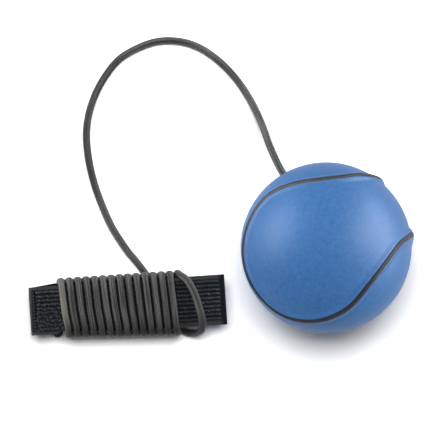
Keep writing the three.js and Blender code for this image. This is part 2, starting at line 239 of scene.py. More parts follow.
# The cord's free stretch, from the strap round to the ball. Points with no height lie on the table.
FREE_ROUTE = [
    (-0.0447, 0.0087), (-0.0492, 0.0186), (-0.0526, 0.0285), (-0.0547, 0.0383), (-0.0554, 0.0482),
    (-0.0538, 0.058), (-0.0497, 0.0679), (-0.0425, 0.0777), (-0.0352, 0.0824), (-0.027, 0.0854),
    (-0.0188, 0.0858), (-0.0106, 0.0838), (-0.0024, 0.0788), (0.0058, 0.0707), (0.0117, 0.0621, 0.0024),
    (0.015, 0.0556, 0.0058), (0.0177, 0.049, 0.0112), (0.02, 0.0424, 0.0166),
]

# The first turn's face is paler and beige: where that lies along the cord, and how far it reaches
PALE_PATCH_MIDDLE = 36.5 * MM
PALE_PATCH_REACH = 9 * MM

# Painted shade on the winding, darker toward the strap's near edge, as shares over places across the strap,
# and a darker stretch of the free cord
SHADE_ACROSS = [
    (0.5, 2 * MM, 11 * MM),
    (0.14, -11 * MM, -2 * MM),
    (0.2, 10 * MM, 11.6 * MM),
]
DARK_STRETCH_SHARE = 0.38
DARK_STRETCH_MIDDLE = 1030 * MM
DARK_STRETCH_REACH = 40 * MM

# Knots: ring and strand of a small trefoil, whose strand swings half a ring in and out of the ring
INNER_KNOT_RING = 2.1 * MM
INNER_KNOT_STRAND = 1.1 * MM
END_KNOT_RING = 1.3 * MM
END_KNOT_STRAND = 1.05 * MM
END_KNOT_PEEK = 1.05 * MM
END_KNOT_ALONG = -29.7 * MM
KNOT_STEPS = 180
KNOT_SIDES = 20
KNOT_TURNS = 2
KNOT_LOBES = 3
KNOT_SWING = 0.5
KNOT_RELIEF = 0.04
KNOT_STRANDS = 5
KNOT_CROSSINGS = 24

# Levels in the strap's package, from the table up
FLOOR_RUN = CORD_RADIUS - CORD_FLAT
LOWER_RUN = FLOOR_RUN + 2 * CORD_RADIUS + CROSSING_GAP
LOOP_TAPE_BOTTOM = LOWER_RUN + CORD_RADIUS + WRAP_GAP
BAND_BOTTOM = LOOP_TAPE_BOTTOM + LOOP_TAPE_THICKNESS + TAPE_GAP
LAYER_STEP = WEBBING_THICKNESS + FOLD_GAP
BAND_TOP = BAND_BOTTOM + 2 * LAYER_STEP + WEBBING_THICKNESS
HOOK_TAPE_BOTTOM = BAND_TOP + TAPE_GAP
UPPER_RUN = HOOK_TAPE_BOTTOM + HOOK_TAPE_BASE + HOOK_HEIGHT + WRAP_GAP + CORD_RADIUS

# Effects that several finishes share
BROAD_SHARE = 0.55
BROAD_DETAIL = 3.0
FINE_DETAIL = 2.0
SCUFF_DETAIL = 4.0
SCUFF_ROUGHNESS = 0.7
SCUFF_EDGE = 0.82
SCUFF_SHARPNESS = 12.0
UNDER_SHARE = 0.45
FAMILY_SHIFT = 0.37
MIDDLE_TONES = (0.3, 0.7)
WIDE_TONES = (0.2, 0.8)
PATCH_TONES = (0.3, 0.6)
SHEEN_ROUGHNESS = 0.4

# Finishes: grain is patches and grains a metre, scuffs are scale and amount, relief is strength and depth
BLUE_DEEP = (0.037, 0.144, 0.386, 1)
BLUE_PALE = (0.061, 0.186, 0.445, 1)
BLUE_SPECK = (0.4, 0.46, 0.55, 1)
BLUE_WORN = (0.2, 0.2, 0.195, 1)
BALL_GRAIN = (520, 2300)
BALL_RUBS = (330, 2000)
BALL_SCUFFS = (420, 0.03)
BALL_SPECK_SHARE = 0.25
BALL_ROUGHNESS = (0.42, 0.58)
BALL_SPECULAR = 0.16
BALL_RELIEF = (0.3, 0.2 * MM)
INNER_RUB_RISE = (0.9 * MM, 1.15 * MM)
INNER_RUB_FALL = (1.5 * MM, 2.2 * MM)
OUTER_RUB_RISE = (-1.9 * MM, -1.45 * MM)
OUTER_RUB_FALL = (-1.3 * MM, -1.0 * MM)
OUTER_RUB_SHARE = 0.3
RUB_PATCHES = (0.25, 0.8)

BEAD_DARK = (0.0125, 0.0161, 0.0238, 1)
BEAD_PALE = (0.039, 0.0465, 0.062, 1)
BEAD_RUBBED = (0.2, 0.19, 0.175, 1)
BEAD_GRAIN = (220, 3200)
BEAD_SCUFFS = (900, 0.16)
BEAD_SCUFF_SHARE = 0.35
BEAD_ROUGHNESS = (0.5, 0.68)
BEAD_SPECULAR = 0.12
BEAD_RELIEF = (0.35, 0.1 * MM)
BEAD_RUB_SIDE = (0.2, 0.95)
BEAD_RUB_WEAR = (0.35, 1.0)
BEAD_RUB_SHARE = 0.7
BEAD_RUB_PATCHES = (0.25, 1.0)

CORD_DARK = (0.056, 0.056, 0.055, 1)
CORD_PALE = (0.168, 0.167, 0.16, 1)
CORD_PALE_PATCH = (0.27, 0.252, 0.222, 1)
# Colour of the painted shade on the winding and of the darker free stretch
CORD_DARKENED = (0.015, 0.015, 0.0145, 1)
# Painted shade in the gaps between the braid's strands
CORD_GAP_SHADE = (0.02, 0.02, 0.02, 1)
CORD_GRAIN = (110, 4200)
CORD_STREAKS = (2.6, 45)
CORD_TONES = (0.25, 0.75)
CORD_YARN_SHARE = 0.15
CORD_GRAIN_SHARE = 0.3
CORD_STREAK_SHARE = 0.55
PALE_PATCH_SHARE = 0.95
CORD_SPECULAR = 0.2
CORD_SHEEN = 0.05
CORD_ROUGHNESS = (0.5, 0.64)
GAP_SHADE_SHARE = 0.6
BRAID_RELIEF = (0.7, 0.12 * MM)

# Knots: the cord's braid painted near-black, as shade under the strap
KNOT_SHADE_DARK = (0.004, 0.004, 0.0045, 1)
KNOT_SHADE_PALE = (0.011, 0.011, 0.0115, 1)
# Painted shade in the gaps between the knots' strands
KNOT_GAP_SHADE = (0.004, 0.004, 0.004, 1)
KNOT_GRAIN = (260, 4200)
KNOT_WEAVE = ((900, 900, 700), (-900, 900, 700))
KNOT_ROUGHNESS = (0.75, 0.9)

WEBBING_DARK = (0.003, 0.004, 0.0055, 1)
WEBBING_PALE = (0.012, 0.0145, 0.018, 1)
WEBBING_STRANDS = (1900, 2500)
WEBBING_SHEEN = 0.05
SELVEDGE_PALE = (0.085, 0.089, 0.094, 1)
SELVEDGE_WEAVE = ((1050, 640, 0), (-1050, 640, 0))
SELVEDGE_HEIGHTS = (0.15, 0.8)
SELVEDGE_LEAST = 0.1
PILE_DARK = (0.008, 0.009, 0.011, 1)
PILE_PALE = (0.03, 0.031, 0.034, 1)
PILE_STRANDS = (1500, 1500)
PILE_SHEEN = 0.5
THREAD_DARK = (0.06, 0.061, 0.063, 1)
THREAD_PALE = (0.17, 0.172, 0.175, 1)
THREAD_STRANDS = (5200, 3000)
THREAD_SHEEN = 0.1
# Needle holes: painted shade, near-black
HOLE_SHADE = (0.002, 0.002, 0.003, 1)
CLOTH_GRAIN = (300, 3800)
CLOTH_SLANT = 0.35
CLOTH_WEAVE_SHARE = 0.6
CLOTH_ROUGHNESS = (0.62, 0.85)
CLOTH_RELIEF = (0.6, 0.15 * MM)

GROUND_DARK = (0.004, 0.005, 0.007, 1)
GROUND_PALE = (0.016, 0.019, 0.023, 1)
HOOK_DARK = (0.021, 0.0255, 0.033, 1)
HOOK_PALE = (0.175, 0.189, 0.208, 1)
HOOK_GRAIN = (240, 3600)
HOOK_WEAVE = ((1900, 700, 0), (0, 1800, 0))
HOOK_SHADE_SHARE = 0.6
HOOK_STANDING = (0.35 * RIB_RELIEF, RIB_RELIEF + 0.5 * HOOK_STEM)
HOOK_ROUGHNESS = (0.45, 0.65)
HOOK_RELIEF = (0.5, 0.1 * MM)

# Table and room
TABLE_SIZE = 6.0
TABLE_GREY = 0.25
TABLE_WHITE = 1.85
WORLD_LIGHT = 0.1

# Lamps: name, azimuth and elevation in degrees, width and height, and the light of a surface that faces it
HIGH_DISTANCE = 4.0
SIDE_DISTANCE = 0.9
SIDE_BOX = (0.5, 0.4)
KEY_BOX = ("key_box", 90, 80, (0.27, 1.0), 0.385)
TABLE_BOX = ("table_box", 90, 75, (2.6, 1.7), 0.81)
BALL_BOXES = [
    ("ball_right_box", 10, 12, SIDE_BOX, 0.21),
    ("ball_high_box", 0, 50, SIDE_BOX, 0.43),
    ("ball_left_box", 180, 12, SIDE_BOX, 0.64),
    ("ball_back_box", 105, 12, SIDE_BOX, 0.43),
    ("ball_front_box", 295, 12, SIDE_BOX, 0.11),
]
BALL_CARDS = [
    ("ball_right_card", 13, 6, (1.3, 0.24), 3.7),
    ("ball_high_card", 18, 36, (0.36, 0.26), 1.2),
    ("ball_left_card", 155, 20, (0.75, 0.55), 2.3),
]
STRAP_BOXES = [
    ("strap_left_box", 180, 12, SIDE_BOX, 1.05),
    ("strap_right_box", 6, 12, SIDE_BOX, 1.0),
    ("strap_back_box", 90, 15, (0.8, 0.4), 0.4),
]
STRAP_CARDS = [("strap_card", 6, 8, (0.32, 0.24), 0.3)]

# Shading: faces that meet at less than these angles, in degrees, are shaded smooth
BALL_CREASE = 40
WEBBING_CREASE = 60
TAPE_CREASE = 50
SMOOTH_ALL = 180

random = np.random.default_rng(7)


# Lines and places


def lengths(line):
    """How far along a line each of its points lies."""
    return np.concatenate([[0], np.cumsum(np.linalg.norm(np.diff(line, axis=0), axis=1))])


def spaced(line, step, closed=False):
    """The line again, with its points about step apart."""
    if closed:
        line = np.concatenate([line, line[:1]])
    along = lengths(line)
    count = max(2, round(along[-1] / step))
    at = np.linspace(0, along[-1], count + 1)
    even = np.stack([np.interp(at, along, line[:, k]) for k in range(3)], axis=1)
    return even[:-1] if closed else even


def smooth_line(points, step, closed=False):
    """Points about step apart on the centripetal Catmull-Rom curve through the given ones."""
    points = np.array(points, float)
    if closed:
        run = np.concatenate([points[-1:], points, points[:2]])
    else:
        run = np.concatenate([2 * points[:1] - points[1:2], points, 2 * points[-1:] - points[-2:-1]])
    span = np.sqrt(np.linalg.norm(np.diff(run, axis=0), axis=1))
    t = np.linspace(0, 1, CURVE_STEPS, endpoint=False)[:, None]
    curve = []
    for i in range(1, len(run) - 2):
        before, here, there, after = run[i - 1:i + 3]
        a, b, c = span[i - 1:i + 2]
        leave = b * ((here - before) / a - (there - before) / (a + b)) + there - here
        reach = there - here - b * ((after - here) / (b + c) - (after - there) / c)
        curve.append(
            (2 * t**3 - 3 * t**2 + 1) * here + (t**3 - 2 * t**2 + t) * leave
            + (3 * t**2 - 2 * t**3) * there + (t**3 - t**2) * reach
        )
    if not closed:
        curve.append(points[-1:])
    return spaced(np.concatenate(curve), step, closed)


def strap_ways():
    """Unit directions along the strap and across it."""
    turn, lean = math.cos(STRAP_TURN), math.sin(STRAP_TURN)
    return np.array([turn, lean, 0]), np.array([-lean, turn, 0])


def on_strap(points):
    """Points from the strap's own frame, X along it and Y across it, in the part's frame."""
    points = np.array(points, float).reshape(-1, 3)
    along_way, across_way = strap_ways()
    placed = points[:, :1] * along_way + points[:, 1:2] * across_way + (*STRAP_CENTRE, 0)
    placed[:, 2] = points[:, 2]
    return placed


def strap_place(points):
    """Places along and across the strap, of points in the part's frame."""
    along_way, across_way = strap_ways()
    off = points - (*STRAP_CENTRE, 0)
    return off @ along_way, off @ across_way


def direction(azimuth, elevation):
    """Unit direction from an azimuth about Z and an elevation, in degrees."""
    azimuth, elevation = math.radians(azimuth), math.radians(elevation)
    level = math.cos(elevation)
    return (level * math.cos(azimuth), level * math.sin(azimuth), math.sin(elevation))


def unit(vectors):
    return vectors / np.linalg.norm(vectors, axis=1)[:, None]


def round_angles(count):
    """Angles once round a ring, evenly spaced."""
    return np.linspace(0, 2 * math.pi, count, endpoint=False)


def smooth_step(value, low, high):
    """0 below low, 1 above high, and an even ramp with soft ends between them."""
    t = np.clip((value - low) / (high - low), 0, 1)
    return t * t * (3 - 2 * t)


def bell(off, reach):
    """1 at no distance, fading to 0 over the reach on both sides."""
    return np.exp(-((off / reach) ** 2))


def frames(line, closed=False):
    """Tangents of a line, and a normal at each point that turns as little as it can along the line."""
    ahead = np.roll(line, -1, axis=0) - np.roll(line, 1, axis=0)
    if not closed:
        ahead[0] = line[1] - line[0]
        ahead[-1] = line[-1] - line[-2]
    tangents = unit(ahead)
    normals = np.zeros_like(line)
    normal = np.array([0.0, 0.0, 1.0])
    if abs(tangents[0] @ normal) > UPRIGHT:
        normal = np.array([1.0, 0.0, 0.0])
    for i, tangent in enumerate(tangents):
        normal = normal - tangent * (normal @ tangent)
        normal /= np.linalg.norm(normal)
        normals[i] = normal
    return tangents, normals


# Pieces


def deselect():
    bpy.ops.object.select_all(action="DESELECT")


def name_piece(name):
    """Names the object that was just added, and returns it."""
    piece = bpy.context.object
    piece.name = name
    piece.data.name = name
    return piece


def pick(piece):
    """Makes a piece the only selected one, and the active one."""
    deselect()
    piece.select_set(True)
    bpy.context.view_layer.objects.active = piece


def join(piece, part):
    """Joins a part onto a piece."""
    pick(piece)
    part.select_set(True)
    bpy.ops.object.join()


def settle(piece):
    """Puts a piece's place, turn and scale into its mesh."""
    pick(piece)
    bpy.ops.object.transform_apply(location=True, rotation=True, scale=True)


def aim(piece, place, axis):
    """Moves a piece to a place with its Z along an axis, in its mesh."""
    piece.location = place
    piece.rotation_mode = "QUATERNION"
    piece.rotation_quaternion = axis.to_track_quat("Z", "Y")
    settle(piece)


def open_faces(piece, chosen=None):
    """Opens a piece for editing with only the chosen faces selected, or with all of them."""
    bpy.ops.object.mode_set(mode="EDIT")
    bpy.ops.mesh.select_mode(type="FACE")
    bpy.ops.mesh.select_all(action="SELECT" if chosen is None else "DESELECT")
    if chosen is not None:
        mesh = bmesh.from_edit_mesh(piece.data)
        mesh.faces.ensure_lookup_table()
        for i in np.flatnonzero(chosen):
            mesh.faces[i].select_set(True)
        bmesh.update_edit_mesh(piece.data)


def close_faces():
    bpy.ops.object.mode_set(mode="OBJECT")


def extrude(rise):
    """Extrudes the selected faces upwards."""
    bpy.ops.mesh.extrude_region_move(TRANSFORM_OT_translate={"value": (0, 0, rise)})


def face_outwards(piece):
    """Merges doubles and turns every face of a closed piece outwards."""
    pick(piece)
    open_faces(piece)
    bpy.ops.mesh.remove_doubles(threshold=MERGE_DISTANCE)
    bpy.ops.mesh.normals_make_consistent(inside=False)
    close_faces()


def modify(piece, kind, **settings):
    """Adds a modifier with these settings and applies it."""
    pick(piece)
    bpy.ops.object.modifier_add(type=kind)
    modifier = piece.modifiers[-1]
    for name, value in settings.items():
        setattr(modifier, name, value)
    bpy.ops.object.modifier_apply(modifier=modifier.name)


def repeat(piece, count, step):
    """Repeats a piece's mesh, each copy a step from the last."""
    modify(piece, "ARRAY", count=count, use_relative_offset=False, use_constant_offset=True,
           constant_offset_displace=step)


def cut(piece, tool):
    """Cuts a closed tool out of a piece, and removes the tool."""
    modify(piece, "BOOLEAN", operation="DIFFERENCE", solver="EXACT", object=tool)
    bpy.data.objects.remove(tool)


def smooth(piece, angle):
    """Shades a piece smooth where its faces meet at less than an angle, in degrees."""
    pick(piece)
    bpy.ops.object.shade_smooth_by_angle(angle=math.radians(angle))


def read_vectors(piece, kind):
    vectors = np.zeros(len(piece.data.vertices) * 3)
    piece.data.vertices.foreach_get(kind, vectors)
    return vectors.reshape(-1, 3)


def read_places(piece):
    return read_vectors(piece, "co")


def write_places(piece, places):
    piece.data.vertices.foreach_set("co", np.ascontiguousarray(places, np.float32).ravel())
    piece.data.update()


def write_mask(piece, name, values):
    """Keeps one number for each vertex, for the piece's material to read."""
    mask = piece.data.attributes.new(name, "FLOAT", "POINT")
    mask.data.foreach_set("value", np.ascontiguousarray(values, np.float32).ravel())


def place_rings(piece, line, section_out, section_side, tangents, normals):
    """Puts a torus's vertices, ring by ring, on a section carried along a closed line."""
    sides = np.cross(normals, tangents)
    rings = (
        line[:, None]
        + normals[:, None] * section_out[..., None]
        + sides[:, None] * section_side[..., None]
    )
    write_places(piece, rings.reshape(-1, 3))


# Seam and ball


def seam_directions(step):
    """The closed seam as unit directions from the ball's centre. Its second half is the first turned over."""
    half = [direction(azimuth, elevation) for azimuth, elevation in SEAM_HALF]
    other = [direction(2 * WAIST_AZIMUTH - azimuth, -elevation) for azimuth, elevation in SEAM_HALF]
    return unit(smooth_line(half + other, step / BALL_RADIUS, closed=True))


def seam_gap(places, seam):
    """How far each place lies from the seam along the ball, more than 0 on the seam's inner side."""
    tree = KDTree(len(seam))
    for i, point in enumerate(seam):
        tree.insert(point, i)
    tree.balance()
    out = unit(places)
    nearest = np.array([tree.find(point)[1] for point in out])
    along = unit(seam[(nearest + 1) % len(seam)] - seam[nearest - 1])
    off = out - seam[nearest]
    off -= along * (off * along).sum(1)[:, None]
    inner = np.sign((off * np.cross(seam[nearest], along)).sum(1))
    return inner * np.linalg.norm(off, axis=1) * BALL_RADIUS


def near_azimuth(places, azimuth, reach):
    """1 where a place lies at this azimuth from the ball's centre, fading over the reach on both sides."""
    off = (np.degrees(np.arctan2(places[:, 1], places[:, 0])) - azimuth + 180) % 360 - 180
    return bell(off, reach)


def seam_width(places):
    """How wide the seam is for its full width: widest in front."""
    return LEAST_WIDTH + (1 - LEAST_WIDTH) * near_azimuth(places, WIDE_AZIMUTH, WIDE_REACH)


def seam_wear(places):
    """How worn the seam's edge is: most on one rubbed stretch."""
    return LEAST_WEAR + (1 - LEAST_WEAR) * near_azimuth(places, WORN_AZIMUTH, WORN_REACH)


def ridge_share(places):
    """How high the seam stands for its full height: lowest on the rubbed stretch."""
    return 1 - WORN_DOWN * near_azimuth(places, WORN_AZIMUTH, WORN_REACH)


def ridge_height(gap, share):
    """Height of the seam's ridge over the ball, with the groove that its bead lies in."""
    crest = share * RIDGE_HEIGHT
    floor = share * BEAD_MIDDLE - BEAD_HALF_THICKNESS - BEAD_GAP
    flank = crest * (1 - smooth_step(gap, RIDGE_CREST, RIDGE_FOOT))
    groove = (crest - floor) * (1 - smooth_step(gap, GROOVE_INNER, GROOVE_OUTER))
    return flank - groove


def make_bore_drill(axis):
    """A drill for the cord's hole, flared where it meets the ball's face."""
    deselect()
    bpy.ops.mesh.primitive_cylinder_add(vertices=BORE_SIDES, radius=BORE_RADIUS, depth=2 * BALL_WALL)
    drill = name_piece("bore_drill")
    open_faces(drill, [face.normal.z > UPRIGHT for face in drill.data.polygons])
    extrude(2 * BORE_FLARE)
    flare = 1 + BORE_FLARE / BORE_RADIUS
    bpy.ops.transform.resize(value=(flare, flare, 1))
    extrude(BALL_WALL)
    close_faces()
    aim(drill, axis * (BALL_RADIUS - BORE_FLARE - BALL_WALL), axis)
    return drill


def make_ball(centre, axis, seam):
    """The hollow rubber ball: fine faces along the seam, raised to its ridge, and the cord's bore."""
    deselect()
    bpy.ops.mesh.primitive_ico_sphere_add(subdivisions=BALL_SUBDIVISIONS, radius=BALL_RADIUS)
    ball = name_piece("rubber_ball")
    middles = np.array([face.center for face in ball.data.polygons])
    open_faces(ball, np.abs(seam_gap(middles, seam)) < RIDGE_BAND)
    bpy.ops.mesh.subdivide(number_cuts=RIDGE_CUTS)
    close_faces()
    places = read_places(ball)
    gap = np.abs(seam_gap(places, seam)) / seam_width(places)
    write_places(ball, unit(places) * (BALL_RADIUS + ridge_height(gap, ridge_share(places)))[:, None])
    deselect()
    bpy.ops.mesh.primitive_ico_sphere_add(subdivisions=HOLLOW_SUBDIVISIONS, radius=BALL_RADIUS - BALL_WALL)
    cut(ball, name_piece("hollow"))
    cut(ball, make_bore_drill(axis))
    places = read_places(ball)
    write_mask(ball, "seam_gap", seam_gap(places, seam) / seam_width(places))
    write_mask(ball, "seam_wear", seam_wear(places))
    ball.location = centre
    settle(ball)
    smooth(ball, BALL_CREASE)
    return ball


def make_bead(centre):
    """The black bead in the ridge's groove: a torus whose rings are laid along the seam."""
    seam = seam_directions(BEAD_STEP)
    deselect()
    bpy.ops.mesh.primitive_torus_add(
        major_segments=len(seam), minor_segments=BEAD_SIDES,
        major_radius=BALL_RADIUS, minor_radius=BEAD_HALF_WIDTH,
    )
    bead = name_piece("seam_bead")
    angle = round_angles(BEAD_SIDES)
    out = ridge_share(seam)[:, None] * BEAD_MIDDLE + BEAD_HALF_THICKNESS * np.cos(angle)
    side = seam_width(seam)[:, None] * BEAD_HALF_WIDTH * np.sin(angle)
    tangents, _ = frames(seam, closed=True)
    place_rings(bead, seam * BALL_RADIUS, out, side, tangents, seam)
    write_mask(bead, "inner_side", np.tile(np.sin(angle), len(seam)))
    write_mask(bead, "seam_wear", np.repeat(seam_wear(seam), BEAD_SIDES))
    modify(bead, "SUBSURF", levels=1, render_levels=1)
    bead.location = centre
    settle(bead)
    smooth(bead, SMOOTH_ALL)
    return bead


# Cord


def turn_outline():
    """One turn round the strap as (across, height, share of the turn), from its lower run's far end.

    Also the share of the turn at the middle of its upper run.
    """
    reach = TURN_EDGE - TURN_CORNER
    rise = (UPPER_RUN - LOWER_RUN) / 2 - TURN_CORNER
    middle = (UPPER_RUN + LOWER_RUN) / 2
    bend = math.pi / 2 * TURN_CORNER
    corners = [(reach, -rise), (reach, rise), (-reach, rise), (-reach, -rise)]
    runs = [2 * rise, 2 * reach, 2 * rise, 2 * reach]
    length = sum(runs) + 4 * bend
    outline = []
    walked = 0

    def add(y, z, angle, gone):
        across = y + TURN_CORNER * math.cos(angle)
        height = middle + z + TURN_CORNER * math.sin(angle)
        outline.append((across, height, (walked + gone) / length))

    for c, (y, z) in enumerate(corners):
        for j in range(CORNER_STEPS + 1):
            share = j / CORNER_STEPS
            add(y, z, math.pi / 2 * (c - 1 + share), share * bend)
        walked += bend
        y_next, z_next = corners[(c + 1) % 4]
        for part in RUN_PARTS:
            add(y + part * (y_next - y), z + part * (z_next - z), math.pi / 2 * c, part * runs[c])
        walked += runs[c]
    return outline, (runs[0] + 2 * bend + runs[1] / 2) / length


def loose_loop(start):
    """The last loop, slack over the strap's face, round its near edge and back under the package."""
    edge, upper, lower, floor = TURN_EDGE, UPPER_RUN, LOWER_RUN, FLOOR_RUN
    route = [
        (0, edge - 0.0035, lower), (0.0001, edge - 0.0007, lower + 0.0016),
        (0.0003, edge, lower + 0.0054), (0.0014, edge - 0.0008, upper - 0.0016),
        (0.004, edge - 0.003, upper + 0.0001), (0.0067, 0.0034, upper), (0.0082, -0.0023, upper),
        (0.0091, -0.0068, upper), (0.0092, 0.0031 - edge, upper - 0.0006),
        (0.0088, 0.001 - edge, upper - 0.0032), (0.0076, -0.0002 - edge, lower + 0.0044),
        (0.0055, -0.0006 - edge, lower + 0.0002), (0.0027, -0.0001 - edge, floor + 0.001),
        (0.0001, 0.0015 - edge, floor), (-0.0068, 0.0019, floor), (-0.0139, edge + 0.0022, floor),
        (-0.0172, edge + 0.007, floor + 0.00015), (-0.0194, edge + 0.01, CORD_RADIUS),
    ]
    return [(start + x, y, z) for x, y, z in route]


def after_end_knot(along):
    """0 at the strap's end knot, and 1 from the first turn on."""
    return smooth_step(along, END_KNOT_ALONG, LEAN_PLACES[0])


def near_edge_shift(along):
    """How far the near edge is pulled in, at a place along the strap."""
    return np.interp(along, LEAN_PLACES, LEAN_SHIFTS) * after_end_knot(along)


def under_winding(along):
    """1 where the turns press on the strap, and 0 clear of them."""
    half = TURN_PITCH / 2
    first = FIRST_TURN - half
    last = first + TURN_COUNT * TURN_PITCH
    return smooth_step(along, first, first + half) * (1 - smooth_step(along, last - half, last))


def near_side(across):
    """0 on the strap's far half, rising to 1 at its near edge."""
    return smooth_step(-across, 0, STRAP_WIDTH / 2)


def lean_near_edge(points):
    """Points in the strap's frame, moved with its near edge, where the first turns have slipped along it."""
    along, across, height = points.T
    slip = NEAR_SLIP * after_end_knot(along) * (1 - smooth_step(along, *SLIP_FADES))
    near = near_side(across)
    return np.stack([along + slip * near, across + near_edge_shift(along) * near, height], axis=1)


def knot_reach(ring):
    """How far from a knot's middle its strand's centreline reaches."""
    return ring * (1 + KNOT_SWING)


def end_knot_place():
    reach = knot_reach(END_KNOT_RING) + END_KNOT_STRAND
    height = (LOOP_TAPE_BOTTOM - END_GAP) / 2
    return END_KNOT_ALONG, -STRAP_WIDTH / 2 - END_KNOT_PEEK + reach - END_GAP, height


def inner_knot_top():
    """How far from the ball's centre the inner knot reaches, where its rim meets the round wall."""
    rim = knot_reach(INNER_KNOT_RING) + INNER_KNOT_STRAND
    return math.sqrt((BALL_RADIUS - BALL_WALL) ** 2 - rim**2) - END_GAP


def cord_line(centre, axis):
    """The whole cord's centreline, from the strap's knot to the ball's, and where its last turn ends."""
    outline, face_share = turn_outline()
    start = end_knot_place()[1] + knot_reach(END_KNOT_RING)
    wound = [(END_KNOT_ALONG, start, LOWER_RUN), (END_KNOT_ALONG, start + 2 * CORD_RADIUS, LOWER_RUN)]
    for turn in range(TURN_COUNT):
        for y, z, share in outline:
            wound.append((FIRST_TURN + TURN_PITCH * (turn + share - face_share), y, z))
    turned = len(wound)
    wound += loose_loop(FIRST_TURN + TURN_PITCH * (TURN_COUNT - face_share))
    wound = on_strap(lean_near_edge(np.array(wound)))
    free = [(x, y, *(z or [CORD_RADIUS])) for x, y, *z in FREE_ROUTE]
    reaches = (BALL_RADIUS + BORE_LEAD, BALL_RADIUS, BALL_RADIUS - BALL_WALL / 2, inner_knot_top())
    bore = [centre + axis * reach for reach in reaches]
    line = smooth_line(np.concatenate([wound, free, bore]), CORD_STEP)
    return line, int(np.argmin(np.linalg.norm(line - wound[turned - 1], axis=1)))


def braid_relief(around, along):
    """Height of the braid's crossing strands, at an angle round the cord and a length along it."""
    return STRAND_RELIEF * np.cos(STRANDS * around) * np.cos(2 * math.pi * along / STRAND_PITCH)


def edge_press(line):
    """1 where the wound cord is pressed flat round the strap's two edges."""
    along, across = strap_place(line)
    return smooth_step(across, *FAR_EDGE) + smooth_step(near_edge_shift(along) - across, *NEAR_EDGE)


def press_square(off, radius, line, slack):
    """A cord's surface off its line, squared and spread along the strap where the edges press it."""
    along_way, across_way = strap_ways()
    pressed = (edge_press(line) * (1 - slack))[:, None]
    outwards = np.sign(strap_place(line)[1])[:, None]
    inwards = np.maximum(-(off @ across_way) * outwards, 0) / radius
    sideways = np.abs(off @ along_way) / radius
    least = np.maximum(inwards, LEAST_INWARDS)
    squared = (least**SQUARENESS + sideways**SQUARENESS) ** (-1 / SQUARENESS) * np.hypot(least, sideways)
    off = off * np.where(inwards > 0, 1 + pressed * (squared - 1), 1)[..., None]
    return off + along_way * ((off @ along_way) * EDGE_SPREAD * pressed)[..., None]


def cord_rings(line, along, slack):
    """The cord's surface, ring by ring: braided, thinner where it is wound, and flat on the table."""
    tangents, normals = frames(line)
    sides = np.cross(tangents, normals)
    angle = round_angles(CORD_SIDES)
    body = WOUND_RADIUS + (CORD_RADIUS - STRAND_RELIEF / 2 - WOUND_RADIUS) * slack
    radius = body[:, None] + braid_relief(angle[None], along[:, None])
    off = (
        normals[:, None] * (radius * np.cos(angle))[..., None]
        + sides[:, None] * (radius * np.sin(angle))[..., None]
    )
    rings = line[:, None] + press_square(off, radius, line, slack)
    rings[..., 2] = np.maximum(rings[..., 2], 0)
    return rings


def tube_faces(count):
    """Faces of a tube of so many rings, with a cap at each end."""
    first = np.arange(count - 1)[:, None] * CORD_SIDES
    here = first + np.arange(CORD_SIDES)
    beside = first + (np.arange(CORD_SIDES) + 1) % CORD_SIDES
    quads = np.stack([here, beside, beside + CORD_SIDES, here + CORD_SIDES], axis=-1).reshape(-1, 4)
    last = (count - 1) * CORD_SIDES
    caps = [list(range(CORD_SIDES - 1, -1, -1)), list(range(last, last + CORD_SIDES))]
    return quads.tolist() + caps


def map_braid(mesh, along):
    """Keeps the length along the cord and the share of the way round it, as the cord's own map."""
    turns = np.arange(CORD_SIDES)[:, None]
    corners = np.zeros((len(along) - 1, CORD_SIDES, 4, 2))
    corners[..., (0, 1), 0] = along[:-1, None, None]
    corners[..., (2, 3), 0] = along[1:, None, None]
    corners[..., (0, 3), 1] = turns / CORD_SIDES
    corners[..., (1, 2), 1] = (turns + 1) / CORD_SIDES
    caps = np.zeros(4 * CORD_SIDES)
    mapped = np.concatenate([corners.reshape(-1), caps])
    mesh.uv_layers.new(name="braid").uv.foreach_set("vector", mapped.astype(np.float32))


def make_cord(line, last_turn):
    """The braided elastic cord as one tube."""
    along = lengths(line)
    slack = smooth_step(along, along[last_turn] - WOUND_EASE, along[last_turn] + WOUND_EASE)
    surface = cord_rings(line, along, slack).reshape(-1, 3)
    mesh = bpy.data.meshes.new("braided_cord")
    mesh.from_pydata(surface.tolist(), [], tube_faces(len(line)))
    cord = bpy.data.objects.new("braided_cord", mesh)
    bpy.context.scene.collection.objects.link(cord)
    map_braid(mesh, along)
    # Painted shade, darker toward the winding's near edge, and a darker stretch of the free cord
    shade_and_dark_stretch = DARK_STRETCH_SHARE * np.repeat(bell(along - DARK_STRETCH_MIDDLE, DARK_STRETCH_REACH), CORD_SIDES)
    across = strap_place(surface)[1]
    for share, low, high in SHADE_ACROSS:
        shade_and_dark_stretch += share * smooth_step(-across, low, high)
    write_mask(cord, "pale_patch", np.repeat(bell(along - PALE_PATCH_MIDDLE, PALE_PATCH_REACH), CORD_SIDES))
    write_mask(cord, "shade_and_dark_stretch", shade_and_dark_stretch)
    smooth(cord, SMOOTH_ALL)
    return cord


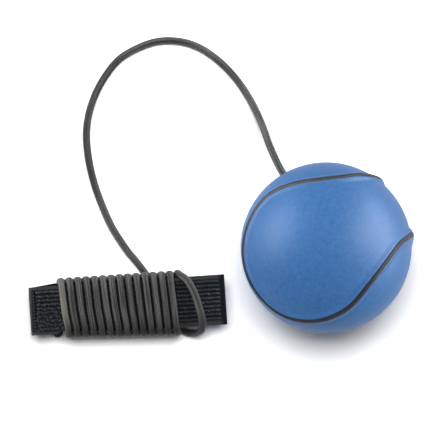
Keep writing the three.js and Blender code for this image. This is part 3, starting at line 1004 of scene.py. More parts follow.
def make_knot(name, ring, strand, rise, place, axis):
    """A pulled-tight knot: a torus whose rings are laid along a trefoil about an axis, above the table."""
    deselect()
    bpy.ops.mesh.primitive_torus_add(
        major_segments=KNOT_STEPS, minor_segments=KNOT_SIDES, major_radius=ring, minor_radius=strand)
    knot = name_piece(name)
    around = KNOT_TURNS * round_angles(KNOT_STEPS)
    lobes = KNOT_LOBES * round_angles(KNOT_STEPS)
    wide = ring * (1 + KNOT_SWING * np.cos(lobes))
    line = np.stack([wide * np.cos(around), wide * np.sin(around), rise * np.sin(lobes)], axis=1)
    tangents, normals = frames(line, closed=True)
    angle = round_angles(KNOT_SIDES)
    crossings = KNOT_CROSSINGS * round_angles(KNOT_STEPS)[:, None]
    radius = strand * (1 + KNOT_RELIEF * np.cos(KNOT_STRANDS * angle) * np.cos(crossings))
    place_rings(knot, line, radius * np.cos(angle), radius * np.sin(angle), tangents, normals)
    aim(knot, place, axis)
    places = read_places(knot)
    places[:, 2] = np.maximum(places[:, 2], 0)
    write_places(knot, places)
    face_outwards(knot)
    smooth(knot, SMOOTH_ALL)
    return knot


# Strap


def fold_arc(centre, radius, first, last):
    turn = np.radians(np.linspace(first, last, FOLD_STEPS + 1))
    return [(centre[0] + radius * math.cos(a), centre[1] + radius * math.sin(a)) for a in turn]


def fold_line():
    """The webbing's S fold seen from its edge, along the middle of its thickness, from its inner end."""
    outer = WEBBING_THICKNESS + FOLD_GAP / 2
    radius = outer - WEBBING_THICKNESS / 2
    end = STRAP_LENGTH / 2
    right = (end - RIGHT_FOLD_INSET - outer, BAND_BOTTOM + outer)
    left = (-end + outer, right[1] + LAYER_STEP)
    low = BAND_BOTTOM + WEBBING_THICKNESS / 2
    points = [(-end + INNER_END_INSET, low)]
    points += fold_arc(right, radius, -90, 90)
    points += fold_arc(left, radius, 270, 90)
    points.append((end + END_REACH, low + 2 * LAYER_STEP))
    return spaced(np.array([(x, 0, z) for x, z in points]), WEBBING_STEP)


def pull_webbing(places):
    """Slips the webbing's lower layers out, pulls its near edge in with the turns and spreads its end."""
    along, height = places[:, 0], places[:, 2]
    lower = smooth_step(BAND_TOP - WEBBING_THICKNESS - height, -FOLD_GAP, FOLD_GAP)
    places[:, 1] += lower * np.interp(along, LAYER_PEEK_PLACES, LAYER_PEEKS)
    pull = np.maximum(near_edge_shift(along), END_PULL * smooth_step(-along, 0, -LEAN_PLACES[0]))
    places[:, 1] += pull * near_side(places[:, 1])
    places[:, 1] += smooth_step(along, *SPREAD_FROM) * (END_SPREAD * places[:, 1] - END_DROP)


def selvedge_share(places):
    """How pale the webbing is: along its edges beside the tape, less under the turns as painted shade there,
    and on its folded end, more toward the far edge.
    """
    along, across, height = places.T
    tape_end = HOOK_TAPE_LENGTH / 2
    strap_end = STRAP_LENGTH / 2
    edges = smooth_step(np.abs(across), *SELVEDGE_REACH)
    edges *= 1 - smooth_step(along, tape_end, tape_end + SELVEDGE_END)
    edges *= smooth_step(height, BAND_TOP - WEBBING_THICKNESS, BAND_TOP - WEBBING_BEVEL)
    # Painted shade under the turns: the pale edge goes fully on the near edge, partly on the far one
    edges *= 1 - under_winding(along) * np.where(across < 0, 1, FAR_EDGE_SHADE)
    fold = smooth_step(-along, strap_end - STITCH_INSET, strap_end - SELVEDGE_END)
    far = smooth_step(across, -STRAP_WIDTH / 2, STRAP_WIDTH / 2)
    return np.maximum(edges, fold * (FOLD_LEAST + (FOLD_MOST - FOLD_LEAST) * far))


def make_webbing():
    """The wrist strap's webbing, folded in three: a grid laid along the fold and given its thickness."""
    line = fold_line()
    last = len(line) - 1
    deselect()
    bpy.ops.mesh.primitive_grid_add(x_subdivisions=last, y_subdivisions=WEBBING_COLUMNS, size=1)
    webbing = name_piece("webbing_band")
    flat = read_places(webbing)
    places = line[np.clip(np.rint((flat[:, 0] + 0.5) * last).astype(int), 0, last)]
    places[:, 1] = flat[:, 1] * STRAP_WIDTH
    pull_webbing(places)
    write_places(webbing, places)
    modify(webbing, "SOLIDIFY", thickness=WEBBING_THICKNESS, offset=0, use_even_offset=True)
    modify(webbing, "BEVEL", width=WEBBING_BEVEL, segments=BEVEL_SEGMENTS, limit_method="ANGLE",
           angle_limit=BEVEL_ANGLE)
    face_outwards(webbing)
    places = read_places(webbing)
    normals = read_vectors(webbing, "normal")
    write_mask(webbing, "selvedge", selvedge_share(places))
    ribs = np.cos(2 * math.pi * WEBBING_RIBS * places[:, 1] / STRAP_WIDTH)
    ribs *= 1 - smooth_step(np.abs(normals[:, 1]), *RIBS_END)
    write_places(webbing, on_strap(places + normals * (WEBBING_RELIEF * ribs)[:, None]))
    smooth(webbing, WEBBING_CREASE)
    return webbing, lengths(line)[-1]


def make_tape_base(name, length, width, thickness, bottom, rows, relief):
    """A woven tape with lengthwise ribs on its upper face, which run out at its ends."""
    deselect()
    bpy.ops.mesh.primitive_grid_add(x_subdivisions=TAPE_ROWS, y_subdivisions=TAPE_COLUMNS, size=1)
    tape = name_piece(name)
    places = read_places(tape) * (length, width, 1)
    rib = 0.5 + 0.5 * np.cos(2 * math.pi * (places[:, 1] * rows / width + 0.5 * (rows + 1)))
    rib *= smooth_step(length / 2 - np.abs(places[:, 0]), 0, RIBS_RUN_OUT)
    places[:, 2] = bottom + thickness - relief + relief * rib
    write_places(tape, places)
    open_faces(tape)
    extrude(relief - thickness)
    close_faces()
    places = read_places(tape)
    floor = np.abs(places[:, 2] - bottom) < relief / 2 + TOUCH
    places[floor, 2] = bottom
    write_places(tape, places)
    face_outwards(tape)
    return tape


def lay_copies(piece, along, step, rows, pitch, turn):
    """Copies a small piece in rows, and returns the copies' places, each turned at random on its middle."""
    each = len(piece.data.vertices)
    repeat(piece, along, (step, 0, 0))
    repeat(piece, rows, (0, pitch, 0))
    places = read_places(piece).reshape(-1, each, 3)
    middles = places.mean(1, keepdims=True)
    turns = random.uniform(-turn, turn, (len(places), 1))
    off = places - middles
    x = off[..., 0] * np.cos(turns) - off[..., 1] * np.sin(turns)
    y = off[..., 0] * np.sin(turns) + off[..., 1] * np.cos(turns)
    centre = ((along - 1) * step / 2, (rows - 1) * pitch / 2, 0)
    return middles + np.stack([x, y, off[..., 2]], axis=-1) - centre


def finish_tape(tape, copies, places, shift=0):
    """Joins small copies onto their tape, at these places, and puts it on the strap."""
    write_places(copies, places.reshape(-1, 3))
    join(tape, copies)
    write_places(tape, on_strap(read_places(tape) + (shift, 0, 0)))
    smooth(tape, TAPE_CREASE)
    return tape


def make_hook():
    """One hook of the tape: a stem that bends over, as a short bent wire, slanted across the tape."""
    deselect()
    bpy.ops.mesh.primitive_circle_add(vertices=HOOK_SIDES, radius=HOOK_WIRE / 2, fill_type="NGON")
    hook = name_piece("hook")
    open_faces(hook)
    extrude(HOOK_STEM)
    bpy.ops.mesh.spin(
        steps=HOOK_TURN_STEPS, angle=-HOOK_TURN, center=(HOOK_BEND, 0, HOOK_STEM), axis=(0, 1, 0))
    close_faces()
    face_outwards(hook)
    hook.rotation_euler = (0, 0, HOOK_SLANT)
    settle(hook)
    return hook


def folded_end(places):
    """1 at the tape's folded end, and 0 from the second turn on."""
    return smooth_step(-places[:, 0], *MATTED_ALONG)


def matted_share(places):
    """How matted the hooks are: most at the tape's folded end, away from its far edge."""
    return folded_end(places) * smooth_step(-places[:, 1], *MATTED_ACROSS)


def make_hook_tape():
    """The hook tape on the strap's outer face: a ribbed base with a row of slanted hooks on each rib."""
    tape = make_tape_base(
        "hook_strip", HOOK_TAPE_LENGTH, HOOK_TAPE_WIDTH, HOOK_TAPE_BASE, HOOK_TAPE_BOTTOM, HOOK_ROWS,
        RIB_RELIEF)
    hook = make_hook()
    each = len(hook.data.vertices)
    along = int(HOOK_TAPE_LENGTH / HOOK_PITCH)
    places = lay_copies(hook, along, HOOK_PITCH, HOOK_ROWS, HOOK_TAPE_WIDTH / HOOK_ROWS, HOOK_TWIST)
    places -= (HOOK_BEND, HOOK_BEND * math.sin(HOOK_SLANT), 0)
    middles = places.mean(1)
    matted = matted_share(middles)
    crushed_and_shaded = under_winding(middles[:, 0])
    jitter = random.uniform(-1, 1, (len(places), 3)) * (HOOK_JITTER * (1 + MATTED_JITTER * matted))[:, None]
    places += jitter[:, None] * (1, 1, 0)
    places[..., 2] *= 1 - CRUSHED_SHARE * np.maximum(crushed_and_shaded, MATTED_FLAT * matted)[:, None]
    # Hooks under the turns take the dark ground's colour: painted shade under the winding
    rise = places[..., 2] * (1 - crushed_and_shaded[:, None]) + RIB_RELIEF - HOOK_WIRE / 2
    shade = random.uniform(0, 1, len(places))
    shade *= 1 - DIM_EDGE * smooth_step(np.abs(middles[:, 1]), *DIM_FROM) * (1 - folded_end(middles))
    shade += MATTED_EVEN * (MATTED_SHADE - shade) * matted
    write_mask(hook, "rise", rise * (1 - MATTED_SINK * matted[:, None]))
    write_mask(hook, "shade", np.repeat(shade, each))
    ground = read_places(tape)
    matted = matted_share(ground)
    rise = ground[:, 2] - HOOK_TAPE_BOTTOM - HOOK_TAPE_BASE + RIB_RELIEF
    write_mask(tape, "rise", rise + (MATTED_LINT - rise) * matted)
    write_mask(tape, "shade", MATTED_SHADE * matted)
    places[..., 2] += HOOK_TAPE_BOTTOM + HOOK_TAPE_BASE - HOOK_WIRE / 2
    return finish_tape(tape, hook, places, HOOK_TAPE_SHIFT)


def make_pile_tape():
    """The pile tape on the strap's other face: a woven base with small standing loops under it."""
    tape = make_tape_base(
        "pile_strip", LOOP_TAPE_LENGTH, LOOP_TAPE_WIDTH, LOOP_TAPE_THICKNESS - LOOP_RING,
        LOOP_TAPE_BOTTOM + LOOP_RING, PILE_ROWS, PILE_RELIEF)
    deselect()
    bpy.ops.mesh.primitive_torus_add(
        major_segments=LOOP_STEPS, minor_segments=LOOP_SIDES, major_radius=LOOP_RING,
        minor_radius=LOOP_WIRE, rotation=(math.pi / 2, 0, 0))
    loop = name_piece("pile_loop")
    settle(loop)
    along = int(LOOP_TAPE_LENGTH / LOOP_PITCH) - 1
    places = lay_copies(loop, along, LOOP_PITCH, PILE_ROWS, LOOP_TAPE_WIDTH / PILE_ROWS, math.pi)
    places[..., 2] += LOOP_TAPE_BOTTOM + LOOP_RING + LOOP_WIRE
    return finish_tape(tape, loop, places)


def make_stitches():
    """The row of stitches that closes the strap's folded end, with a needle hole after each, painted
    near-black as the shade in it.
    """
    deselect()
    bpy.ops.mesh.primitive_uv_sphere_add(
        segments=STITCH_SIDES, ring_count=STITCH_RINGS, radius=STITCH_THREAD / 2)
    stitch = name_piece("end_stitches")
    x, z, y = read_places(stitch).T
    end = np.abs(y) / (STITCH_THREAD / 2)
    write_places(stitch, np.stack([x, y * STITCH_LENGTH / STITCH_THREAD, z - STITCH_SINK * end**2], axis=1))
    write_mask(stitch, "hole", np.zeros(len(x)))
    deselect()
    bpy.ops.mesh.primitive_uv_sphere_add(segments=STITCH_SIDES, ring_count=HOLE_RINGS, radius=NEEDLE_HOLE)
    hole = name_piece("needle_hole")
    places = read_places(hole) * (1, 1, HOLE_DEPTH / NEEDLE_HOLE) + (0, STITCH_PITCH / 2, -HOLE_DEPTH / 2)
    write_places(hole, places)
    write_mask(hole, "hole", np.ones(len(places)))
    join(stitch, hole)
    face_outwards(stitch)
    repeat(stitch, STITCH_COUNT, (0, STITCH_PITCH, 0))
    first = (STITCH_INSET - STRAP_LENGTH / 2, (1 - STITCH_COUNT) * STITCH_PITCH / 2, BAND_TOP + STITCH_RISE)
    write_places(stitch, on_strap(read_places(stitch) + first))
    smooth(stitch, SMOOTH_ALL)
    return stitch


# Nodes


def node(tree, kind, inputs=None, **settings):
    """Adds a shader node. An input is given a value, or another node's output."""
    made = tree.nodes.new("ShaderNode" + kind)
    for name, value in settings.items():
        setattr(made, name, value)
    for name, value in (inputs or {}).items():
        if isinstance(value, bpy.types.NodeSocket):
            tree.links.new(value, made.inputs[name])
        else:
            made.inputs[name].default_value = value
    return made


def maths(tree, operation, *values):
    return node(tree, "Math", dict(enumerate(values)), operation=operation).outputs[0]


def weigh(tree, *parts):
    """The sum of values, each times its weight."""
    total = maths(tree, "MULTIPLY", *parts[0])
    for value, weight in parts[1:]:
        total = maths(tree, "ADD", total, maths(tree, "MULTIPLY", value, weight))
    return total


def mix_values(tree, share, first, second):
    return node(tree, "Mix", {0: share, 2: first, 3: second}, data_type="FLOAT").outputs[0]


def mix_colours(tree, share, first, second):
    return node(tree, "Mix", {0: share, 6: first, 7: second}, data_type="RGBA").outputs[2]


def ramp(tree, value, low, high, bottom=0.0, top=1.0):
    """A value carried softly from between low and high to between bottom and top."""
    limits = {"From Min": low, "From Max": high, "To Min": bottom, "To Max": top}
    return node(tree, "MapRange", {"Value": value, **limits}, interpolation_type="SMOOTHSTEP").outputs[0]


def attribute(tree, name):
    return node(tree, "Attribute", attribute_name=name).outputs["Fac"]


def object_map(tree):
    return node(tree, "TexCoord").outputs["Object"]


def strap_map(tree):
    """Object coordinates, turned to run along the strap."""
    return node(tree, "Mapping", {"Vector": object_map(tree), "Rotation": (0, 0, -STRAP_TURN)}).outputs[0]


# Node groups


def new_group(name, inputs, outputs):
    group = bpy.data.node_groups.new(name, "ShaderNodeTree")
    for way, sockets in (("INPUT", inputs), ("OUTPUT", outputs)):
        for label, kind in sockets:
            group.interface.new_socket(name=label, in_out=way, socket_type="NodeSocket" + kind)
    return group, group.nodes.new("NodeGroupInput").outputs, group.nodes.new("NodeGroupOutput").inputs


def grain_group():
    """Broad patches of tone and a fine grain, from the same coordinates."""
    group, given, result = new_group(
        "rubber_and_fibre_grain",
        [("Map", "Vector"), ("Patches", "Float"), ("Grain", "Float")],
        [("Tone", "Float"), ("Height", "Float")],
    )
    broad = node(group, "TexNoise", {
        "Vector": given["Map"], "Scale": given["Patches"], "Detail": BROAD_DETAIL,
    })
    fine = node(group, "TexNoise", {"Vector": given["Map"], "Scale": given["Grain"], "Detail": FINE_DETAIL})
    tone = weigh(group, (broad.outputs["Fac"], BROAD_SHARE), (fine.outputs["Fac"], 1 - BROAD_SHARE))
    group.links.new(tone, result["Tone"])
    group.links.new(fine.outputs["Fac"], result["Height"])
    return group


def scuff_group():
    """Small worn specks and rubs: 1 where the surface is scuffed."""
    group, given, result = new_group(
        "scuffs", [("Map", "Vector"), ("Size", "Float"), ("Amount", "Float")], [("Mask", "Float")])
    specks = node(group, "TexNoise", {
        "Vector": given["Map"], "Scale": given["Size"], "Detail": SCUFF_DETAIL, "Roughness": SCUFF_ROUGHNESS,
    })
    edge = maths(group, "SUBTRACT", SCUFF_EDGE, given["Amount"])
    over = maths(group, "SUBTRACT", specks.outputs["Fac"], edge)
    sharp = maths(group, "MULTIPLY", over, SCUFF_SHARPNESS)
    group.links.new(node(group, "Clamp", {"Value": sharp}).outputs[0], result["Mask"])
    return group


def streak_group():
    """Long soft streaks along a cord, from its map of length and share of the way round."""
    group, given, result = new_group(
        "yarn_streaks", [("Map", "Vector"), ("Around", "Float"), ("Along", "Float")], [("Tone", "Float")])
    parts = node(group, "SeparateXYZ", {0: given["Map"]}).outputs
    angle = maths(group, "MULTIPLY", parts["Y"], 2 * math.pi)
    across = maths(group, "MULTIPLY", maths(group, "COSINE", angle), given["Around"])
    up = maths(group, "MULTIPLY", maths(group, "SINE", angle), given["Around"])
    length = maths(group, "MULTIPLY", parts["X"], given["Along"])
    place = node(group, "CombineXYZ", {0: across, 1: up, 2: length}).outputs[0]
    streaks = node(group, "TexNoise", {"Vector": place, "Scale": 1.0, "Detail": FINE_DETAIL})
    group.links.new(streaks.outputs["Fac"], result["Tone"])
    return group


def weave_group():
    """Two families of strands that pass over and under each other, by two sets of counts along a map."""
    group, given, result = new_group(
        "over_and_under",
        [("Map", "Vector"), ("First", "Vector"), ("Second", "Vector")],
        [("Height", "Float"), ("Gap", "Float"), ("Tone", "Float")],
    )
    counts = []
    crowns = []
    for family in ("First", "Second"):
        both = {0: given["Map"], 1: given[family]}
        place = node(group, "VectorMath", both, operation="DOT_PRODUCT").outputs["Value"]
        centred = maths(group, "MULTIPLY_ADD", maths(group, "FRACT", place), 2.0, -1.0)
        fall = maths(group, "POWER", maths(group, "ABSOLUTE", centred), 2.0)
        counts.append(maths(group, "FLOOR", place))
        crowns.append(maths(group, "SUBTRACT", 1.0, fall))
    parity = maths(group, "FLOORED_MODULO", maths(group, "ADD", *counts), 2.0)
    top = maths(group, "GREATER_THAN", parity, 0.5)
    over = mix_values(group, top, crowns[0], crowns[1])
    under = mix_values(group, top, crowns[1], crowns[0])
    bow = maths(group, "MULTIPLY_ADD", under, UNDER_SHARE, 1 - UNDER_SHARE)
    strand = mix_values(group, top, counts[0], counts[1])
    number = maths(group, "ADD", strand, maths(group, "MULTIPLY", top, FAMILY_SHIFT))
    tone = node(group, "TexWhiteNoise", {"W": number}, noise_dimensions="1D")
    group.links.new(maths(group, "MULTIPLY", over, bow), result["Height"])
    group.links.new(maths(group, "SUBTRACT", 1.0, over), result["Gap"])
    group.links.new(tone.outputs["Value"], result["Tone"])
    return group


def make_groups():
    return {
        "grain": grain_group(), "scuffs": scuff_group(), "weave": weave_group(), "streaks": streak_group(),
    }


def place_group(tree, group, inputs):
    return node(tree, "Group", inputs, node_tree=group).outputs


def place_grain(tree, groups, map_, grain):
    return place_group(tree, groups["grain"], {"Map": map_, "Patches": grain[0], "Grain": grain[1]})


def place_scuffs(tree, groups, map_, scuffs):
    return place_group(tree, groups["scuffs"], {"Map": map_, "Size": scuffs[0], "Amount": scuffs[1]})["Mask"]


def place_weave(tree, groups, map_, weave):
    return place_group(tree, groups["weave"], {"Map": map_, "First": weave[0], "Second": weave[1]})


# Materials


def new_material(name):
    """A material with a Principled BSDF, its node tree and that shader."""
    material = bpy.data.materials.new(name)
    material.use_nodes = True
    return material, material.node_tree, material.node_tree.nodes["Principled BSDF"]


def finish(tree, shader, colour, roughness, height, relief, **plain_values):
    """Gives a shader its colour, roughness and bumps, and the values that are the same all over."""
    strength, depth = relief
    bumps = node(tree, "Bump", {"Height": height, "Strength": strength, "Distance": depth})
    tree.links.new(colour, shader.inputs["Base Color"])
    tree.links.new(roughness, shader.inputs["Roughness"])
    tree.links.new(bumps.outputs[0], shader.inputs["Normal"])
    for name, value in plain_values.items():
        shader.inputs[name.replace("_", " ")].default_value = value


def dress(piece, material):
    piece.data.materials.clear()
    piece.data.materials.append(material)


def ball_rubber(groups):
    """Satin blue rubber with a faint bloom, fine grain, a few specks and a worn line along the seam."""
    material, tree, shader = new_material("blue_rubber")
    map_ = object_map(tree)
    tone = place_grain(tree, groups, map_, BALL_GRAIN)["Tone"]
    rubs = place_grain(tree, groups, map_, BALL_RUBS)["Tone"]
    specks = maths(tree, "MULTIPLY", place_scuffs(tree, groups, map_, BALL_SCUFFS), BALL_SPECK_SHARE)
    gap = attribute(tree, "seam_gap")
    inner = maths(
        tree, "MULTIPLY", ramp(tree, gap, *INNER_RUB_RISE), ramp(tree, gap, *INNER_RUB_FALL, 1.0, 0.0))
    inner = maths(tree, "MULTIPLY", inner, attribute(tree, "seam_wear"))
    outer = ramp(tree, gap, *OUTER_RUB_RISE, 0.0, OUTER_RUB_SHARE)
    outer = maths(tree, "MULTIPLY", outer, ramp(tree, gap, *OUTER_RUB_FALL, 1.0, 0.0))
    patchy = ramp(tree, rubs, *PATCH_TONES, *RUB_PATCHES)
    worn = maths(tree, "MULTIPLY", maths(tree, "ADD", inner, outer), patchy)
    blue = mix_colours(tree, ramp(tree, tone, *MIDDLE_TONES), BLUE_DEEP, BLUE_PALE)
    colour = mix_colours(tree, worn, mix_colours(tree, specks, blue, BLUE_SPECK), BLUE_WORN)
    roughness = ramp(tree, tone, *MIDDLE_TONES, *BALL_ROUGHNESS)
    finish(tree, shader, colour, roughness, tone, BALL_RELIEF, Specular_IOR_Level=BALL_SPECULAR)
    return material


def seam_rubber(groups):
    """Matt black rubber, rubbed grey in places."""
    material, tree, shader = new_material("black_rubber")
    map_ = object_map(tree)
    grain = place_grain(tree, groups, map_, BEAD_GRAIN)
    tone = grain["Tone"]
    scuffed = maths(tree, "MULTIPLY", place_scuffs(tree, groups, map_, BEAD_SCUFFS), BEAD_SCUFF_SHARE)
    side = ramp(tree, attribute(tree, "inner_side"), *BEAD_RUB_SIDE)
    wear = ramp(tree, attribute(tree, "seam_wear"), *BEAD_RUB_WEAR, 0.0, BEAD_RUB_SHARE)
    patchy = ramp(tree, tone, *PATCH_TONES, *BEAD_RUB_PATCHES)
    rubbed = maths(tree, "MULTIPLY", maths(tree, "MULTIPLY", side, wear), patchy)
    black = mix_colours(tree, tone, BEAD_DARK, BEAD_PALE)
    colour = mix_colours(tree, maths(tree, "MAXIMUM", rubbed, scuffed), black, BEAD_RUBBED)
    roughness = ramp(tree, tone, *MIDDLE_TONES, *BEAD_ROUGHNESS)
    finish(tree, shader, colour, roughness, grain["Height"], BEAD_RELIEF, Specular_IOR_Level=BEAD_SPECULAR)
    return material


def cord_braid(groups):
    """Dark grey braid of many yarns, with painted shade between its strands and toward the winding's near
    edge, darker on one free stretch, and paler and beige on the first turn's face.
    """
    material, tree, shader = new_material("grey_braid")
    uv = node(tree, "UVMap", uv_map="braid").outputs["UV"]
    count, rate = 2 * STRANDS, 1 / STRAND_PITCH
    weave = place_weave(tree, groups, uv, ((rate, count, 0), (-rate, count, 0)))
    tone = place_grain(tree, groups, object_map(tree), CORD_GRAIN)["Tone"]
    around, along = CORD_STREAKS
    streaks = place_group(tree, groups["streaks"], {"Map": uv, "Around": around, "Along": along})["Tone"]
    light = weigh(
        tree, (weave["Tone"], CORD_YARN_SHARE), (tone, CORD_GRAIN_SHARE),
        (ramp(tree, streaks, *MIDDLE_TONES), CORD_STREAK_SHARE))
    grey = mix_colours(tree, ramp(tree, light, *CORD_TONES), CORD_DARK, CORD_PALE)
    pale_share = maths(tree, "MULTIPLY", attribute(tree, "pale_patch"), PALE_PATCH_SHARE)
    patched = mix_colours(tree, pale_share, grey, CORD_PALE_PATCH)
    # Painted shade toward the winding's near edge, and the darker free stretch
    darkened = mix_colours(tree, attribute(tree, "shade_and_dark_stretch"), patched, CORD_DARKENED)
    # Painted shade: near-black in the gaps between strands
    colour = mix_colours(tree, maths(tree, "MULTIPLY", weave["Gap"], GAP_SHADE_SHARE), darkened, CORD_GAP_SHADE)
    roughness = ramp(tree, tone, *WIDE_TONES, *CORD_ROUGHNESS)
    finish(tree, shader, colour, roughness, weave["Height"], BRAID_RELIEF,
           Specular_IOR_Level=CORD_SPECULAR, Sheen_Weight=CORD_SHEEN, Sheen_Roughness=SHEEN_ROUGHNESS)
    return material


def knot_braid(groups):
    """The cord's braid on its knots, which have no map along the cord, painted near-black as the shade on the
    end knot under the strap.
    """
    material, tree, shader = new_material("knotted_braid")
    map_ = object_map(tree)
    weave = place_weave(tree, groups, map_, KNOT_WEAVE)
    tone = place_grain(tree, groups, map_, KNOT_GRAIN)["Tone"]
    grey = mix_colours(tree, tone, KNOT_SHADE_DARK, KNOT_SHADE_PALE)
    # Painted shade: near-black in the gaps between strands
    colour = mix_colours(tree, maths(tree, "MULTIPLY", weave["Gap"], GAP_SHADE_SHARE), grey, KNOT_GAP_SHADE)
    roughness = ramp(tree, tone, *WIDE_TONES, *KNOT_ROUGHNESS)
    finish(tree, shader, colour, roughness, weave["Height"], BRAID_RELIEF,
           Specular_IOR_Level=CORD_SPECULAR)
    return material


def strap_cloth(name, groups, dark, pale, strands, sheen, mask=None, marked=None, knit=False):
    """Woven cloth on the strap, of so many strands a metre across and along it, marked where a mask says."""
    material, tree, shader = new_material(name)
    turned = strap_map(tree)
    across, along = strands
    weave = place_weave(tree, groups, turned, ((along, CLOTH_SLANT * along, 0), (0, across, 0)))
    tone = place_grain(tree, groups, object_map(tree), CLOTH_GRAIN)["Tone"]
    light = weigh(tree, (weave["Height"], CLOTH_WEAVE_SHARE), (tone, 1 - CLOTH_WEAVE_SHARE))
    colour = mix_colours(tree, light, dark, pale)
    if mask:
        share = attribute(tree, mask)
        if knit:
            coarse = place_weave(tree, groups, turned, SELVEDGE_WEAVE)["Height"]
            share = maths(tree, "MULTIPLY", share, ramp(tree, coarse, *SELVEDGE_HEIGHTS, SELVEDGE_LEAST, 1.0))
        colour = mix_colours(tree, share, colour, marked)
    roughness = ramp(tree, tone, *WIDE_TONES, *CLOTH_ROUGHNESS)
    finish(tree, shader, colour, roughness, weave["Height"], CLOTH_RELIEF,
           Sheen_Weight=sheen, Sheen_Roughness=SHEEN_ROUGHNESS)
    return material


def hook_nylon(groups):
    """Dark woven ground with paler hooks that stand out of it."""
    material, tree, shader = new_material("hook_nylon")
    weave = place_weave(tree, groups, strap_map(tree), HOOK_WEAVE)
    tone = place_grain(tree, groups, object_map(tree), HOOK_GRAIN)["Tone"]
    ground = mix_colours(tree, weave["Height"], GROUND_DARK, GROUND_PALE)
    light = weigh(tree, (tone, 1 - HOOK_SHADE_SHARE), (attribute(tree, "shade"), HOOK_SHADE_SHARE))
    hooks = mix_colours(tree, light, HOOK_DARK, HOOK_PALE)
    standing = ramp(tree, attribute(tree, "rise"), *HOOK_STANDING)
    colour = mix_colours(tree, standing, ground, hooks)
    roughness = ramp(tree, tone, *WIDE_TONES, *HOOK_ROUGHNESS)
    finish(tree, shader, colour, roughness, weave["Height"], HOOK_RELIEF)
    return material


# Stage


def make_camera():
    lens = bpy.data.cameras.new("picture_camera")
    lens.sensor_width = SENSOR_WIDTH
    lens.lens = SENSOR_WIDTH * CAMERA_DISTANCE / PICTURE_WIDTH
    lens.clip_end = CAMERA_REACH
    camera = bpy.data.objects.new("picture_camera", lens)
    camera.location = (*PICTURE_CENTRE, PICTURE_LEVEL + CAMERA_DISTANCE)
    bpy.context.scene.collection.objects.link(camera)
    bpy.context.scene.camera = camera


def seen_directly(tree):
    """1 for rays that show the background: from the camera, in gloss or through glass."""
    rays = node(tree, "LightPath").outputs
    gloss = maths(tree, "MAXIMUM", rays["Is Glossy Ray"], rays["Is Transmission Ray"])
    return maths(tree, "MAXIMUM", rays["Is Camera Ray"], gloss)


def make_table():
    """The white table: the picture's white where it is seen, and plain pale grey to the light it returns."""
    deselect()
    bpy.ops.mesh.primitive_plane_add(size=TABLE_SIZE)
    table = name_piece("white_table")
    material, tree, shader = new_material("white_table")
    tree.nodes.remove(shader)
    grey, white = (
        node(tree, "BsdfDiffuse", {"Color": (tone, tone, tone, 1)}).outputs[0]
        for tone in (TABLE_GREY, TABLE_WHITE)
    )
    mixed = node(tree, "MixShader", {0: seen_directly(tree), 1: grey, 2: white})
    tree.links.new(mixed.outputs[0], tree.nodes["Material Output"].inputs["Surface"])
    dress(table, material)
    return table


def make_world():
    """An even, plain room."""
    world = bpy.data.worlds.new("plain_room")
    bpy.context.scene.world = world
    world.use_nodes = True
    room = world.node_tree.nodes["Background"]
    room.inputs["Color"].default_value = (1, 1, 1, 1)
    room.inputs["Strength"].default_value = WORLD_LIGHT


def make_lamp(name, azimuth, elevation, size, level, distance=SIDE_DISTANCE):
    """A soft box that faces the object. Its level is the light of a surface that faces it."""
    lamp = bpy.data.lights.new(name, "AREA")
    lamp.shape = "RECTANGLE"
    lamp.size, lamp.size_y = size
    lamp.energy = level * (math.pi * distance) ** 2
    box = bpy.data.objects.new(name, lamp)
    towards = Vector(direction(azimuth, elevation))
    box.location = towards * distance
    box.rotation_mode = "QUATERNION"
    box.rotation_quaternion = towards.to_track_quat("Z", "Y")
    box.visible_camera = False
    bpy.context.scene.collection.objects.link(box)
    return box


def only_on(boxes, name, pieces, blockers=True):
    """Lets boxes light only these pieces, with only their own shadows unless told otherwise."""
    lit = bpy.data.collections.new(name)
    for piece in pieces:
        lit.objects.link(piece)
    for box in boxes:
        box.light_linking.receiver_collection = lit
        if blockers:
            box.light_linking.blocker_collection = lit


def make_lights(table, on_ball, on_strap_side):
    """A key on the object, a lamp on the table, and soft boxes and gloss cards for the ball and the strap."""
    key = make_lamp(*KEY_BOX, distance=HIGH_DISTANCE)
    above = make_lamp(*TABLE_BOX, distance=HIGH_DISTANCE)
    ball_boxes, ball_cards, strap_boxes, strap_cards = (
        [make_lamp(*lamp) for lamp in lamps]
        for lamps in (BALL_BOXES, BALL_CARDS, STRAP_BOXES, STRAP_CARDS)
    )
    for box in [key, above] + ball_boxes + strap_boxes:
        box.visible_glossy = False
    for card in ball_cards + strap_cards:
        card.visible_diffuse = False
    only_on([above], "lit_with_the_table", [table], blockers=False)
    only_on([key], "lit_with_the_key", on_ball + on_strap_side)
    only_on(ball_boxes + ball_cards, "lit_with_the_ball", on_ball)
    only_on(strap_boxes + strap_cards, "lit_with_the_strap", on_strap_side)


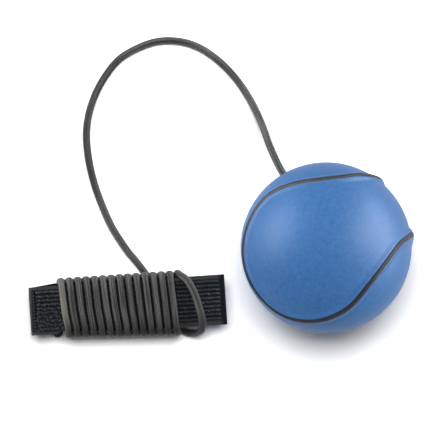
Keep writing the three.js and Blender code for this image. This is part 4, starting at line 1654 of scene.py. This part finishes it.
def main():
    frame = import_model()
    swivel = frame["joints"][0]
    centre = Vector(swivel["pos_m"])
    axis = Vector(swivel["axis"]).normalized()
    bpy.context.scene.view_settings.view_transform = "Standard"

    make_camera()
    line, last_turn = cord_line(centre, axis)
    cord = make_cord(line, last_turn)
    inner_knot = make_knot(
        "inner_knot", INNER_KNOT_RING, INNER_KNOT_STRAND, INNER_KNOT_RING / 2,
        centre + axis * (inner_knot_top() - INNER_KNOT_RING / 2 - INNER_KNOT_STRAND), axis)
    knot_place = end_knot_place()
    end_knot = make_knot(
        "end_knot", END_KNOT_RING, END_KNOT_STRAND, knot_place[2] - END_KNOT_STRAND,
        Vector(on_strap(knot_place)[0]), Vector((0, 0, 1)))
    ball = make_ball(centre, axis, seam_directions(SEAM_STEP))
    bead = make_bead(centre)
    webbing, webbing_length = make_webbing()
    hooks = make_hook_tape()
    pile = make_pile_tape()
    stitches = make_stitches()

    groups = make_groups()
    dress(ball, ball_rubber(groups))
    dress(bead, seam_rubber(groups))
    dress(cord, cord_braid(groups))
    knotted = knot_braid(groups)
    dress(inner_knot, knotted)
    dress(end_knot, knotted)
    dress(webbing, strap_cloth(
        "black_webbing", groups, WEBBING_DARK, WEBBING_PALE, WEBBING_STRANDS, WEBBING_SHEEN,
        mask="selvedge", marked=SELVEDGE_PALE, knit=True))
    dress(hooks, hook_nylon(groups))
    dress(pile, strap_cloth(
        "brushed_pile", groups, PILE_DARK, PILE_PALE, PILE_STRANDS, PILE_SHEEN))
    # The needle holes on the stitches are painted shade
    dress(stitches, strap_cloth(
        "sewing_thread", groups, THREAD_DARK, THREAD_PALE, THREAD_STRANDS, THREAD_SHEEN,
        mask="hole", marked=HOLE_SHADE))

    for piece, body, slot, nodes in (
        (ball, "ball", "ball_rubber", ["ball_shell"]),
        (bead, "ball", "seam_rubber", ["seam_stripe"]),
        (cord, "strap", "elastic_cord", ["cord_loop", "cord_winding"]),
        (inner_knot, "strap", "elastic_cord", ["ball_knot"]),
        (end_knot, "strap", "elastic_cord", ["strap_knot"]),
        (webbing, "strap", "webbing", ["strap_band"]),
        (hooks, "strap", "hook_tape", ["hook_tape"]),
        (pile, "strap", "loop_tape", ["loop_tape"]),
        (stitches, "strap", "webbing", []),
    ):
        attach(piece, body)
        if nodes:
            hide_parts(*nodes)

    table = make_table()
    make_world()
    make_lights(table, [ball, bead], [cord, inner_knot, end_knot, webbing, hooks, pile, stitches])


main()
